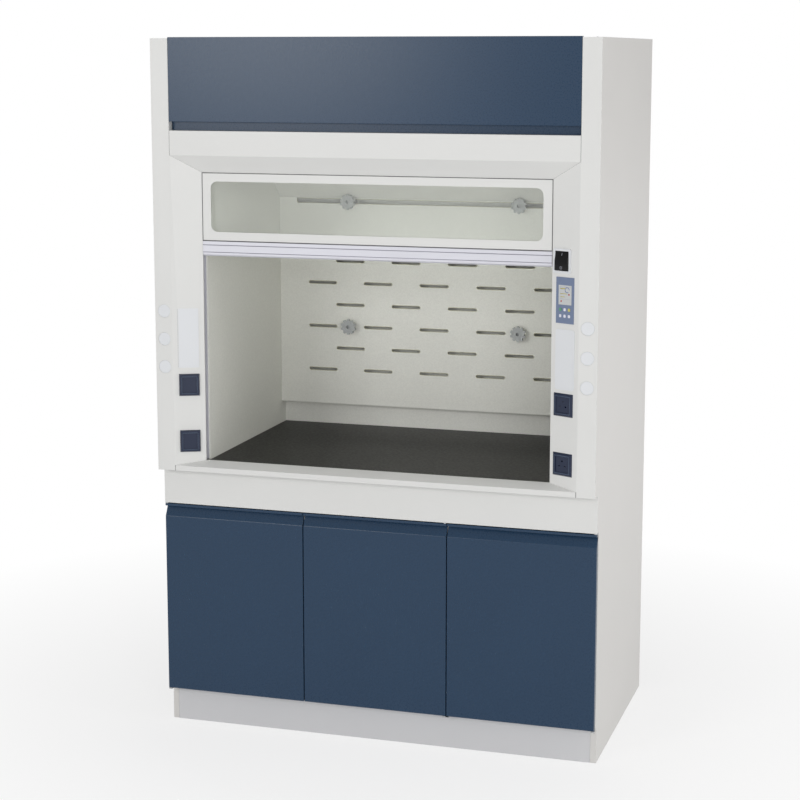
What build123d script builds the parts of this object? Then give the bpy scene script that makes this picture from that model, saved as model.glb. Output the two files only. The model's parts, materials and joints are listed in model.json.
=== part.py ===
from build123d import *
import os
from math import hypot, pi, sin, cos

# Fume hood on a three-door base cabinet, in millimetres.
# X runs to the viewer's right, Y to the back and Z up. The origin is the middle of the footprint on
# the floor. Depths called "back" count from the plane of the hood's front frame, positive backwards.

# Overall size
WIDTH = 1500.0
DEPTH = 900.0
HEIGHT = 2350.0
SHEET = 2.0               # steel sheet of frames and panels
PANEL = 20.0              # depth of a folded panel, over its flanges
SEAM = 0.5                # gap left between two pieces that meet

# Base cabinet
PLINTH_HEIGHT = 119.0
PLINTH_SETBACK = 88.0
PLINTH_FLANGE = 22.0
BASE_SETBACK = 48.0       # face of the doors and the apron behind the hood's front plane
APRON_BOTTOM = 782.0
HOOD_BOTTOM = 907.0
PARTITION_X = 250.0

# Doors
DOOR_THICKNESS = 20.0
DOOR_SKIN = 1.2
DOOR_GAP = 3.0            # between neighbouring doors, and under the apron
DOOR_EDGE_GAP = 1.0       # from the outer doors to the side of the hood
DOOR_FOOT_GAP = 3.5       # above the plinth
DOOR_CLEARANCE = 2.0      # between a door's back and the carcass
PULL_LIP = 8.5            # height of the lip over the finger pull
PULL_DEPTH = 17.0
PULL_WALL = 4.5           # straight back wall of the finger pull
PULL_SLOPE_DEPTH = 11.0   # depth where the slope of the pull breaks
PULL_SLOPE_DROP = 12.0
PULL_DROP = 19.0          # from that break out to the door's face
PIVOT_RADIUS = 3.0
PIVOT_INSET = 5.0         # pivot axis from the door's edge and from its face
PIVOT_COLLAR = 6.0
PIVOT_DEPTH = 9.0         # length of pivot pin inside the door
PIVOT_TAB = 9.0           # half width of the lower pivot's tab
DRAIN_RADIUS = 3.0

# Front frame
POST_FLAT = 62.0          # flat outer strip of each post
BEVEL_WIDTH = 95.0        # bevelled inner part of each post, seen from the front
BEVEL_DEPTH = 44.0
LIP = 3.0                 # return behind the inner edge of the bevels
POST_DROP = 3.0           # posts, roof and side panels end this far under the fascia's top
SILL_FLAT = 18.0
SILL_RISE = 15.0
SILL_SHELF = 8.0
SILL_TURN = 25.0
UNDERSIDE = 60.0          # depth of the closed underside of the overhang
FASCIA_HEIGHT = 273.0
FASCIA_RETURN = 20.0
GROOVE_HEIGHT = 29.0
GROOVE_DEPTH = 25.0
LINTEL_FLAT = 81.0
LINTEL_BEVEL = 57.0

# Fixed window under the lintel
WINDOW_HEIGHT = 226.0
WINDOW_PLATE = 5.0
WINDOW_SIDE = 31.0
WINDOW_TOP = 29.0
WINDOW_BOTTOM = 30.5
WINDOW_CORNER = 23.0
PANE_THICKNESS = 2.5
PANE_REBATE = 8.0

# Working chamber
WORKTOP_THICKNESS = 25.0
WORKTOP_TOP = 938.0
LINER = 6.0               # sheet of the chamber's lining
LINER_REVEAL = 3.0        # lining in from the mouth's edge
CEILING_OVER_MOUTH = 75.0
SERVICE_SPACE = 96.0      # from the back liner to the hood's back
PLENUM_SPACE = 42.0       # from the baffle to the back liner
BAFFLE_GAP = 82.0         # under the baffle
BAFFLE_FOLD_DROP = 205.0  # fold of the baffle under the ceiling
BAFFLE_RUN = 193.0        # slanted upper baffle, forwards and up
BAFFLE_RISE = 180.0
SLOT_WIDTH = 107.0
SLOT_HEIGHT = 11.0
SLOT_PITCH = 212.0
SLOT_DROP = 230.0         # top row of slots under the fold
SLOT_ROW_PITCH = 80.4
SLOT_FOOT_SPACE = 120.0   # least height of plain sheet under the slots
SLOT_SIDE_SPACE = 100.0   # least width of plain sheet beside them
LONG_SLOT_SIDE = 69.0     # from the side liner to the end of the long slot
LONG_SLOT_HEIGHT = 17.0
LONG_SLOT_DROP = 3.0      # under the fold

# Star knobs that clamp the baffle
KNOB_SIDE = 272.0         # knobs in from the side liners
KNOB_DROP = 12.0          # upper knobs under the fold
KNOB_LIFT = 292.0         # lower knobs over the baffle's foot
KNOB_RADIUS = 28.0
KNOB_LOBES = 10
KNOB_NOTCH = 5.0
KNOB_THICKNESS = 12.0
KNOB_BOSS = 19.0          # boss that holds the star off the baffle
KNOB_HUB = 12.0
KNOB_EYE = 6.5
KNOB_DISH = 2.0
KNOB_GAP = 0.3
STUD_RADIUS = 4.0
STUD_COLLAR = 14.0
STUD_ENGAGEMENT = 16.0
RUNNING_FIT = 0.05

# Sash
HANDLE_HEIGHT = 49.0
HANDLE_GAP = 1.0
HANDLE_FRONT = 41.0       # depth of the handle's face
HANDLE_SIDE_GAP = 1.5
HANDLE_GROOVE = 2.0
HANDLE_BAND_TOP = 12.5    # from the handle's top down to its middle band
HANDLE_BAND_FOOT = 13.0   # from its bottom up to the band
HANDLE_BAND_RAISE = 1.5
HANDLE_CHAMFER = 5.0
GLASS_DEPTH = 62.0
GLASS_THICKNESS = 5.0
GLASS_IN_HANDLE = 21.0
GLASS_TOP_GAP = 8.0       # raised glass under the hood's top
GLASS_PLAY = 0.1
STILE_WIDTH = 12.0
STILE_WALL = 3.0
STILE_GRIP = 8.0
STILE_OUTSET = 1.0        # stile out from the mouth's edge
LUG_HEIGHT = 24.0
LUG_REACH = 11.0
GUIDE_PLAY = 0.5
GUIDE_WALL = 2.0
GUIDE_TOP_GAP = 10.0      # between the guides and the pulleys
BLADE_FOOT = 6.0          # seal blade up from the raised handle's bottom
BLADE_HEIGHT = 70.0
BLADE_TAB = 15.0

# Counterbalance
CABLE_RADIUS = 1.6
CABLE_OUT = 7.0           # cable outwards from the stile
PULLEY_PITCH = 55.0
PULLEY_RIM = 4.0          # rim beyond the cable's centre
PULLEY_WIDTH = 12.0
PULLEY_WEB = 5.0
PULLEY_HUB = 12.0
PULLEY_DROP = 75.0        # pulley's centre under the hood's top
AXLE_RADIUS = 5.0
AXLE_HEAD = 8.0
AXLE_HEAD_LENGTH = 3.0
CHEEK = 3.0
CHEEK_GAP = 2.0
CHEEK_WIDTH = 40.0
WEIGHT_WIDTH = 24.0
WEIGHT_DEPTH = 100.0
WEIGHT_HEIGHT = 395.0
WEIGHT_HEADROOM = 75.0    # raised weight under the pulley's centre

# Exhaust and lamp
SPIGOT_RADIUS = 125.0
SPIGOT_WALL = 1.5
SPIGOT_FLANGE = 20.0
SPIGOT_MARGIN = 6.0
LAMP_HALF = 440.0
LAMP_FRONT = 250.0
LAMP_BACK = 390.0
LAMP_HEIGHT = 60.0
LAMP_FLANGE = 12.0
LENS_THICKNESS = 4.0

# Fittings on the posts, placed by their middle, outwards from the mouth's edge
SOCKET_LEFT_OUT = 47.5
SOCKET_RIGHT_OUT = 45.5
SOCKET_UPPER = 1199.5
SOCKET_PITCH = 192.0
SOCKET_LEFT_WIDTH = 69.0
SOCKET_RIGHT_WIDTH = 76.0
SOCKET_HEIGHT = 75.0
SOCKET_LEFT_RAISE = 8.0
SOCKET_RIGHT_RAISE = 6.0
SOCKET_SLOPE = 5.0
SOCKET_FRAME = 10.0
SOCKET_RECESS = 3.0
SOCKET_BOX_WIDTH = 50.0
SOCKET_BOX_HEIGHT = 60.0
SOCKET_BOX_DEPTH = 40.0
SOCKET_PIN = 3.0
SOCKET_PIN_SPREAD = 11.0
SOCKET_PIN_DEPTH = 15.0
COVER_RAISE = 1.5
COVER_LEFT_WIDTH = 67.0
COVER_LEFT_HEIGHT = 200.0
COVER_RIGHT_WIDTH = 74.0
COVER_RIGHT_HEIGHT = 193.0
COVER_CORNER = 8.0
COVER_LEFT_Z = 1358.0
COVER_RIGHT_OUT = 49.0
COVER_RIGHT_Z = 1344.5
PLUG_RADIUS = 21.75
PLUG_GAP = 0.25
PLUG_CHAMFER = 0.8
PLUG_TUBE = 15.0
PLUG_TUBE_LENGTH = 18.0
PLUG_SIDE = 32.0          # service plugs in from the hood's side
PLUG_MIDDLE = 1355.0
PLUG_PITCH = 94.0

# Rocker switch
SWITCH_OUT = 36.0
SWITCH_Z = 1656.5
SWITCH_WIDTH = 67.0
SWITCH_HEIGHT = 77.0
SWITCH_RAISE = 4.0
SWITCH_CORNER = 4.0
SWITCH_BOX_DEPTH = 17.0
SWITCH_WALL = 3.0
ROCKER_WIDTH = 51.4
ROCKER_HEIGHT = 61.4
ROCKER_GAP = 0.6
ROCKER_EDGE = 4.5         # half thickness of the rocker's ends about its pivot
ROCKER_RIDGE = 8.0        # ridge over the pivot
ROCKER_PIVOT = 0.5        # pivot over the bevel
ROCKER_TILT = 6.0
TRUNNION_RADIUS = 2.0
TRUNNION_LENGTH = 2.5

# Control panel
CONTROL_OUT = 47.5
CONTROL_Z = 1533.0
CONTROL_WIDTH = 69.0
CONTROL_HEIGHT = 146.0
CONTROL_RAISE = 2.0
CONTROL_RIM = 3.0
CONTROL_RIM_WALL = 2.0
CONTROL_BOX_DEPTH = 16.0
SCREEN_WIDTH = 51.0
SCREEN_HEIGHT = 62.0
SCREEN_Z = 17.0           # screen over the panel's middle
SCREEN_SUNK = 0.6
SCREEN_GAP = 0.2
BOARD_DEPTH = 6.0
BOARD_THICKNESS = 1.6
KEY_WIDTH = 8.0
KEY_HEIGHT = 9.5
KEY_CORNER = 2.5
KEY_GAP = 0.3
KEY_RAISE = 1.2
KEY_PITCH = 17.0
KEY_ROW_PITCH = 20.4
KEY_TOP_ROW = -29.0
KEY_FLANGE = 1.2
KEY_FLANGE_THICKNESS = 1.5
KEY_SEAT = 0.1

# Levelling feet behind the plinth
FOOT_RADIUS = 25.0
FOOT_HEIGHT = 8.0
STEM_RADIUS = 6.0
FOOT_SIDE = 70.0          # feet in from the hood's sides
FOOT_FRONT = 150.0
FOOT_BACK_INSET = 70.0    # rear feet in from the hood's back

# Lines worked out from the sizes above
FRONT = -DEPTH / 2
HALF = WIDTH / 2
FLAT_X = HALF - POST_FLAT
MOUTH_X = FLAT_X - BEVEL_WIDTH
LINER_X = MOUTH_X - LINER_REVEAL
INNER_X = HALF - PANEL
FRAME_TOP = HEIGHT - POST_DROP
FASCIA_BOTTOM = HEIGHT - FASCIA_HEIGHT
LINTEL_TOP = FASCIA_BOTTOM - GROOVE_HEIGHT
LINTEL_BREAK = LINTEL_TOP - LINTEL_FLAT
MOUTH_TOP = LINTEL_BREAK - LINTEL_BEVEL
SILL_BREAK = HOOD_BOTTOM + SILL_FLAT
SILL_TOP = SILL_BREAK + SILL_RISE
WINDOW_FOOT = MOUTH_TOP - WINDOW_HEIGHT
HANDLE_TOP = WINDOW_FOOT - HANDLE_GAP
HANDLE_BOTTOM = HANDLE_TOP - HANDLE_HEIGHT
GLASS_TOP = HEIGHT - GLASS_TOP_GAP
SASH_TRAVEL = HANDLE_BOTTOM - SILL_TOP - HANDLE_GAP
WORKTOP_BOTTOM = WORKTOP_TOP - WORKTOP_THICKNESS
CEILING_HEIGHT = MOUTH_TOP + CEILING_OVER_MOUTH
BACK_LINER_DEPTH = DEPTH - SERVICE_SPACE
BAFFLE_DEPTH = BACK_LINER_DEPTH - PLENUM_SPACE
BAFFLE_BOTTOM = WORKTOP_TOP + BAFFLE_GAP
BAFFLE_FOLD = CEILING_HEIGHT - BAFFLE_FOLD_DROP
LONG_SLOT_TOP = BAFFLE_FOLD - LONG_SLOT_DROP
SLOT_TOP_ROW = BAFFLE_FOLD - SLOT_DROP
SLOT_ROWS = 1 + int((SLOT_TOP_ROW - BAFFLE_BOTTOM - SLOT_FOOT_SPACE) / SLOT_ROW_PITCH)
SLOT_COLUMNS = 1 + int((2 * (LINER_X - SLOT_SIDE_SPACE) - SLOT_WIDTH) / SLOT_PITCH)
LONG_SLOT_HALF = LINER_X - LONG_SLOT_SIDE
KNOB_X = LINER_X - KNOB_SIDE
KNOB_UPPER = BAFFLE_FOLD - KNOB_DROP
KNOB_LOWER = BAFFLE_BOTTOM + KNOB_LIFT
FOOT_BACK = DEPTH - FOOT_BACK_INSET
FOOT_X = HALF - FOOT_SIDE
PLUG_X = HALF - PLUG_SIDE
SOCKET_LEFT_X = MOUTH_X + SOCKET_LEFT_OUT
SOCKET_RIGHT_X = MOUTH_X + SOCKET_RIGHT_OUT
COVER_RIGHT_X = MOUTH_X + COVER_RIGHT_OUT
SWITCH_X = MOUTH_X + SWITCH_OUT
CONTROL_X = MOUTH_X + CONTROL_OUT
CARCASS_FRONT = BASE_SETBACK + DOOR_THICKNESS + DOOR_CLEARANCE
CARCASS_BACK = DEPTH - PANEL - SEAM
STILE_INNER = MOUTH_X + STILE_OUTSET
STILE_OUTER = STILE_INNER + STILE_WIDTH
STILE_FRONT = GLASS_DEPTH - STILE_WALL
STILE_BACK = GLASS_DEPTH + GLASS_THICKNESS + STILE_WALL
GUIDE_FRONT = STILE_FRONT - GUIDE_PLAY - GUIDE_WALL
GUIDE_BACK = STILE_BACK + GUIDE_PLAY + GUIDE_WALL
LINER_FRONT = GUIDE_BACK + SEAM
GUIDE_WEB = STILE_OUTER + LUG_REACH + GUIDE_PLAY
CABLE_X = STILE_OUTER + CABLE_OUT
CABLE_DEPTH = GLASS_DEPTH + GLASS_THICKNESS / 2
PULLEY_Z = HEIGHT - PULLEY_DROP
PULLEY_DEPTH = CABLE_DEPTH + PULLEY_PITCH
WEIGHT_CABLE_DEPTH = CABLE_DEPTH + 2 * PULLEY_PITCH
WEIGHT_TOP = PULLEY_Z - WEIGHT_HEADROOM - SASH_TRAVEL
LUG_TOP = HANDLE_BOTTOM + BLADE_FOOT + LUG_HEIGHT
GUIDE_TOP = PULLEY_Z - PULLEY_PITCH - PULLEY_RIM - GUIDE_TOP_GAP
SPIGOT_DEPTH = BACK_LINER_DEPTH - SPIGOT_MARGIN - SPIGOT_WALL - SPIGOT_RADIUS
ROOF_FRONT = LINER_FRONT + SEAM
BEVEL_LENGTH = hypot(BEVEL_WIDTH, BEVEL_DEPTH)
DOOR_FOOT = PLINTH_HEIGHT + DOOR_FOOT_GAP
DOOR_HEAD = APRON_BOTTOM - DOOR_GAP


def block(x0, x1, back0, back1, z0, z1):
    """A box between two corners."""
    middle = Pos((x0 + x1) / 2, FRONT + (back0 + back1) / 2, (z0 + z1) / 2)
    return middle * Box(x1 - x0, back1 - back0, z1 - z0)


def along_x(points, x0, x1):
    """A bar along X whose section is a list of (back, z) points."""
    section = Polygon(*[(FRONT + back, z) for back, z in points], align=None)
    return extrude(Plane.YZ.offset(x0) * section, x1 - x0, dir=(1, 0, 0))


def along_z(points, z0, z1):
    """A bar along Z whose section is a list of (x, back) points."""
    section = Polygon(*[(x, FRONT + back) for x, back in points], align=None)
    return extrude(Plane.XY.offset(z0) * section, z1 - z0, dir=(0, 0, 1))


def facing(sketch, back0, back1):
    """A sketch in X and Z, as seen from the front, extruded between two depths."""
    plane = Plane(origin=(0, FRONT + back1, 0), x_dir=(1, 0, 0), z_dir=(0, -1, 0))
    return extrude(plane * sketch, back1 - back0, dir=(0, -1, 0))


def through(points):
    """A prism through the whole depth from (x, z) points."""
    return facing(Polygon(*points, align=None), -DEPTH, 2 * DEPTH)


def cylinder_y(x, z, radius, back0, back1):
    """A round bar along Y."""
    return facing(Pos(x, z) * Circle(radius), back0, back1)


def cylinder_z(x, back, radius, z0, z1):
    """A round bar along Z."""
    return Pos(x, FRONT + back, (z0 + z1) / 2) * Cylinder(radius, z1 - z0)


def folded(points, thickness):
    """Closed outline of a bent sheet. The points are its outside, with the material on their left."""
    inside = []
    for index, point in enumerate(points):
        normals = []
        for start, end in zip(points[max(index - 1, 0):index + 1], points[max(index, 1):index + 2]):
            run = (end[0] - start[0], end[1] - start[1])
            length = hypot(*run)
            normals.append((-run[1] / length, run[0] / length))
        first, last = normals[0], normals[-1]
        scale = thickness / (1 + first[0] * last[0] + first[1] * last[1])
        inside.append((point[0] + scale * (first[0] + last[0]), point[1] + scale * (first[1] + last[1])))
    return list(points) + inside[::-1]


def mirrored(points):
    """The same (x, back) points on the hood's other side."""
    return [(-x, back) for x, back in points]


def bevel_plane(side, x, z):
    """A plane on the face of a post's bevel: its X runs along the bevel and its Z points out of it."""
    across = BEVEL_WIDTH / BEVEL_LENGTH
    slant = BEVEL_DEPTH / BEVEL_LENGTH
    back = (FLAT_X - x) * BEVEL_DEPTH / BEVEL_WIDTH
    return Plane(origin=(side * x, FRONT + back, z), x_dir=(across, -side * slant, 0),
                 z_dir=(-side * slant, -across, 0))


def plate(plane, sketch, low, high):
    """A sketch on a plane, extruded between two heights over it."""
    return extrude(plane.offset(low) * sketch, high - low)


def pan(outline, x0, x1, open_side):
    """A folded panel from a (back, z) outline: one skin and its flanges, open towards open_side."""
    whole = along_x(outline, x0, x1)
    section = Polygon(*[(FRONT + back, z) for back, z in outline], align=None)
    inner = offset(section, amount=-SHEET, kind=Kind.INTERSECTION)
    start = x0 - SHEET if open_side < 0 else x0 + SHEET
    return whole - extrude(Plane.YZ.offset(start) * inner, x1 - x0, dir=(1, 0, 0))


def tray(x0, x1, back0, back1, z0, z1, face):
    """A folded rectangular tray. Its skin is on the named face, and the face across from it is open."""
    low = [x0 + SHEET, back0 + SHEET, z0 + SHEET]
    high = [x1 - SHEET, back1 - SHEET, z1 - SHEET]
    if face == "top":
        low[2] = z0 - SHEET
    if face == "back":
        low[1] = back0 - SHEET
    if face == "left":
        high[0] = x1 + SHEET
    return block(x0, x1, back0, back1, z0, z1) - block(low[0], high[0], low[1], high[1], low[2], high[2])


# Side panels, back, roof and the folded base

def side_outline():
    """Side of the hood: full height, stepped back behind the apron, the doors and the plinth."""
    apron_back = BASE_SETBACK + SHEET
    return [
        (SHEET, HOOD_BOTTOM), (apron_back, HOOD_BOTTOM), (apron_back, APRON_BOTTOM),
        (CARCASS_FRONT, APRON_BOTTOM), (CARCASS_FRONT, PLINTH_HEIGHT),
        (PLINTH_SETBACK, PLINTH_HEIGHT), (PLINTH_SETBACK, 0), (DEPTH, 0), (DEPTH, FRAME_TOP),
        (SHEET, FRAME_TOP),
    ]


def service_places():
    """Middles of the three service holes on a post's outer strip."""
    return [PLUG_MIDDLE + PLUG_PITCH * step for step in (-1, 0, 1)]


def side_panel(side):
    """A side panel: outer skin with flanges turned in, relieved behind the service holes."""
    x0, x1 = sorted((side * INNER_X, side * HALF))
    body = pan(side_outline(), x0, x1, -side)
    for z in service_places():
        body -= cylinder_y(side * PLUG_X, z, PLUG_RADIUS + LIP, 0, PANEL)
    return body


def back_panel():
    """The hood's back, between the side panels."""
    edge = INNER_X - SEAM
    return tray(-edge, edge, DEPTH - PANEL, DEPTH, 0, FRAME_TOP, "back")


def roof_panel():
    """The top, behind the slot that the raised sash stands in, with the hole for the exhaust."""
    edge = INNER_X - SEAM
    body = tray(-edge, edge, ROOF_FRONT, CARCASS_BACK, FRAME_TOP - PANEL, FRAME_TOP, "top")
    hole = SPIGOT_RADIUS + SPIGOT_WALL + SEAM
    return body - cylinder_z(0, SPIGOT_DEPTH, hole, FRAME_TOP - PANEL, FRAME_TOP + PANEL)


def base_floor():
    """Floor of the cabinet."""
    edge = INNER_X - SEAM
    return tray(-edge, edge, CARCASS_FRONT, CARCASS_BACK, PLINTH_HEIGHT, PLINTH_HEIGHT + PANEL, "top")


def base_top():
    """Top of the cabinet, which carries the worktop and the lining."""
    edge = INNER_X - SEAM
    return tray(-edge, edge, CARCASS_FRONT, CARCASS_BACK, WORKTOP_BOTTOM - PANEL, WORKTOP_BOTTOM, "top")


def partition(side):
    """A partition between two compartments of the cabinet."""
    x0 = side * PARTITION_X - PANEL / 2
    low = PLINTH_HEIGHT + PANEL
    return tray(x0, x0 + PANEL, CARCASS_FRONT, CARCASS_BACK, low, WORKTOP_BOTTOM - PANEL, "left")


def apron():
    """The white rail between the doors and the hood, with its top and bottom turned back."""
    outline = folded([(CARCASS_FRONT, HOOD_BOTTOM), (BASE_SETBACK, HOOD_BOTTOM),
                      (BASE_SETBACK, APRON_BOTTOM), (CARCASS_FRONT, APRON_BOTTOM)], SHEET)
    face = along_x(outline, -HALF, HALF)
    inside = block(INNER_X - SEAM, HALF, BASE_SETBACK + SHEET, DEPTH, APRON_BOTTOM, HOOD_BOTTOM)
    return face - inside - mirror(inside, Plane.YZ)


def plinth():
    """The toe board, set back under the doors."""
    edge = INNER_X - SEAM
    turned = PLINTH_SETBACK + PLINTH_FLANGE
    outline = folded([(turned, PLINTH_HEIGHT), (PLINTH_SETBACK, PLINTH_HEIGHT),
                      (PLINTH_SETBACK, 0), (turned, 0)], SHEET)
    return along_x(outline, -edge, edge)


def levelling_feet():
    """Four screw feet under the cabinet's floor."""
    feet = []
    for x in (-FOOT_X, FOOT_X):
        for back in (FOOT_FRONT, FOOT_BACK):
            pad = cylinder_z(x, back, FOOT_RADIUS, 0, FOOT_HEIGHT)
            underside = PLINTH_HEIGHT + PANEL - SHEET
            feet.append(pad + cylinder_z(x, back, STEM_RADIUS, FOOT_HEIGHT, underside))
    return feet


# Doors

def door_outline():
    """Section of a door, with the finger pull along its top."""
    face, rear = BASE_SETBACK, BASE_SETBACK + DOOR_THICKNESS
    under_lip = DOOR_HEAD - PULL_LIP
    wall_foot = under_lip - PULL_WALL
    slope_break = wall_foot - PULL_SLOPE_DROP
    return [
        (rear, DOOR_HEAD), (face, DOOR_HEAD), (face, under_lip), (face + PULL_DEPTH, under_lip),
        (face + PULL_DEPTH, wall_foot), (face + PULL_SLOPE_DEPTH, slope_break),
        (face, slope_break - PULL_DROP), (face, DOOR_FOOT), (rear, DOOR_FOOT),
    ]


def pivot_x(x0, x1, hinge_side):
    """Place of a door's pivot axis across the front."""
    return x0 + PIVOT_INSET if hinge_side < 0 else x1 - PIVOT_INSET


def door(x0, x1, hinge_side):
    """A double-skinned door with a closed finger-pull section and holes for its two pivot pins."""
    outline = door_outline()
    section = Polygon(*[(FRONT + back, z) for back, z in outline], align=None)
    inner = offset(section, amount=-DOOR_SKIN, kind=Kind.INTERSECTION)
    body = along_x(outline, x0, x1)
    body -= extrude(Plane.YZ.offset(x0 + DOOR_SKIN) * inner, x1 - x0 - 2 * DOOR_SKIN, dir=(1, 0, 0))
    x = pivot_x(x0, x1, hinge_side)
    back = BASE_SETBACK + PIVOT_INSET
    hole = PIVOT_RADIUS + RUNNING_FIT
    body -= cylinder_z(x, back, hole, DOOR_HEAD - PULL_LIP + DOOR_SKIN, DOOR_HEAD + SHEET)
    body -= cylinder_z(x, back, hole, DOOR_FOOT - SHEET, DOOR_FOOT + PIVOT_DEPTH)
    middle = BASE_SETBACK + DOOR_THICKNESS / 2
    for drain in (x0 + PARTITION_X / 2, x1 - PARTITION_X / 2):
        body -= cylinder_z(drain, middle, DRAIN_RADIUS, DOOR_FOOT - SHEET, DOOR_FOOT + SHEET)
    return body


def door_places():
    """Edges and hinge side of each door, from left to right."""
    inner = PARTITION_X - DOOR_GAP / 2
    outer = HALF - DOOR_EDGE_GAP
    return {
        "door_left": (-outer, -inner - DOOR_GAP, -1),
        "door_middle": (-inner, inner, 1),
        "door_right": (inner + DOOR_GAP, outer, 1),
    }


def door_pivots():
    """Pivot pins of the doors: a collared pin under the apron and a pinned tab under the floor."""
    back = BASE_SETBACK + PIVOT_INSET
    pieces = []
    for x0, x1, hinge_side in door_places().values():
        x = pivot_x(x0, x1, hinge_side)
        pin_foot = DOOR_HEAD - PULL_LIP + 2 * DOOR_SKIN
        upper = cylinder_z(x, back, PIVOT_RADIUS, pin_foot, APRON_BOTTOM)
        upper += cylinder_z(x, back, PIVOT_COLLAR, DOOR_HEAD + SEAM, APRON_BOTTOM)
        tab_x0 = min(x - PIVOT_COLLAR, x + hinge_side * PIVOT_INSET - PIVOT_TAB)
        tab_x1 = max(x + PIVOT_COLLAR, x + hinge_side * PIVOT_INSET + PIVOT_TAB)
        tab_x0, tab_x1 = max(tab_x0, SEAM - HALF), min(tab_x1, HALF - SEAM)
        lower = block(tab_x0, tab_x1, BASE_SETBACK + SHEET, PLINTH_SETBACK - SEAM,
                      PLINTH_HEIGHT - SHEET, PLINTH_HEIGHT)
        lower -= block(INNER_X - SEAM, HALF, CARCASS_FRONT - SEAM, DEPTH, 0, PLINTH_HEIGHT)
        lower -= block(-HALF, SEAM - INNER_X, CARCASS_FRONT - SEAM, DEPTH, 0, PLINTH_HEIGHT)
        lower += cylinder_z(x, back, PIVOT_COLLAR, PLINTH_HEIGHT, DOOR_FOOT - SEAM)
        lower += cylinder_z(x, back, PIVOT_RADIUS, PLINTH_HEIGHT, DOOR_FOOT + PIVOT_DEPTH - SHEET)
        pieces += [upper, lower]
    return pieces


# Front frame

def post_fittings(side):
    """Width, height and middle of every cut-out in a post's bevel."""
    lower = SOCKET_UPPER - SOCKET_PITCH
    x = SOCKET_LEFT_X if side < 0 else SOCKET_RIGHT_X
    sockets = [(SOCKET_BOX_WIDTH, SOCKET_BOX_HEIGHT, x, z) for z in (SOCKET_UPPER, lower)]
    if side < 0:
        return sockets
    rocker = ROCKER_GAP + SWITCH_WALL
    switch = (ROCKER_WIDTH + 2 * rocker, ROCKER_HEIGHT + 2 * rocker, SWITCH_X, SWITCH_Z)
    control = (CONTROL_WIDTH - 2 * CONTROL_RIM, CONTROL_HEIGHT - 2 * CONTROL_RIM, CONTROL_X, CONTROL_Z)
    return sockets + [switch, control]


def post(side):
    """A front post: flat outer strip, bevel towards the mouth, and the turned edge beside the groove."""
    bevel = folded([(MOUTH_X, BEVEL_DEPTH + LIP), (MOUTH_X, BEVEL_DEPTH), (FLAT_X, 0), (HALF, 0)], SHEET)
    strip = folded([(FLAT_X, GROOVE_DEPTH + SHEET), (FLAT_X, 0), (HALF, 0)], SHEET)
    if side < 0:
        bevel, strip = mirrored(bevel), mirrored(strip)
    mask = [(HALF, HOOD_BOTTOM), (HALF, LINTEL_BREAK), (FLAT_X, LINTEL_BREAK), (MOUTH_X, MOUTH_TOP),
            (MOUTH_X, SILL_TOP), (FLAT_X, SILL_BREAK), (FLAT_X, HOOD_BOTTOM)]
    mask = [(side * x, z) for x, z in mask]
    body = along_z(bevel, HOOD_BOTTOM, LINTEL_BREAK) & through(mask)
    body += along_z(strip, LINTEL_BREAK, FRAME_TOP)
    x0, x1 = sorted((side * FLAT_X, side * (INNER_X - SEAM)))
    body += block(x0, x1, 0, UNDERSIDE, HOOD_BOTTOM, HOOD_BOTTOM + SHEET)
    for width, height, x, z in post_fittings(side):
        hole = Rectangle(width + 2 * SEAM, height + 2 * SEAM)
        body -= plate(bevel_plane(side, x, z), hole, -2 * SHEET, SHEET)
    for z in service_places():
        body -= cylinder_y(side * PLUG_X, z, PLUG_RADIUS + PLUG_GAP, -SHEET, 2 * SHEET)
    return body


def lintel():
    """The white beam over the mouth: flat face, bevel under it, and the shelf under the groove."""
    outline = folded([(GROOVE_DEPTH + SHEET, LINTEL_TOP), (0, LINTEL_TOP), (0, LINTEL_BREAK),
                      (BEVEL_DEPTH, MOUTH_TOP), (BEVEL_DEPTH + LIP, MOUTH_TOP)], SHEET)
    flat, mouth = FLAT_X - SEAM, MOUTH_X - SEAM
    mask = [(-flat, LINTEL_TOP + SHEET), (flat, LINTEL_TOP + SHEET), (flat, LINTEL_BREAK),
            (mouth, MOUTH_TOP), (-mouth, MOUTH_TOP), (-flat, LINTEL_BREAK)]
    return along_x(outline, -FLAT_X, FLAT_X) & through(mask)


def sill():
    """The lower edge of the mouth: short front, bevel up to a shelf, and the closed underside."""
    shelf = BEVEL_DEPTH + SILL_SHELF
    outline = folded([(shelf, SILL_TOP - SILL_TURN), (shelf, SILL_TOP), (BEVEL_DEPTH, SILL_TOP),
                      (0, SILL_BREAK), (0, HOOD_BOTTOM), (UNDERSIDE, HOOD_BOTTOM)], SHEET)
    flat, mouth = FLAT_X - SEAM, MOUTH_X - SEAM
    mask = [(-flat, HOOD_BOTTOM), (flat, HOOD_BOTTOM), (flat, SILL_BREAK), (mouth, SILL_TOP),
            (-mouth, SILL_TOP), (-flat, SILL_BREAK)]
    return along_x(outline, -FLAT_X, FLAT_X) & through(mask)


def fascia():
    """The blue head panel, folded back under itself into the dark groove over the lintel."""
    outline = folded([(FASCIA_RETURN, HEIGHT), (0, HEIGHT), (0, FASCIA_BOTTOM),
                      (GROOVE_DEPTH, FASCIA_BOTTOM), (GROOVE_DEPTH, LINTEL_TOP + SEAM)], SHEET)
    return along_x(outline, SEAM - FLAT_X, FLAT_X - SEAM)


def window_opening():
    """The rounded opening of the fixed window and its middle."""
    width = 2 * (MOUTH_X - WINDOW_SIDE)
    height = WINDOW_HEIGHT - WINDOW_TOP - WINDOW_BOTTOM
    return Pos(0, WINDOW_FOOT + WINDOW_BOTTOM + height / 2), width, height


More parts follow.
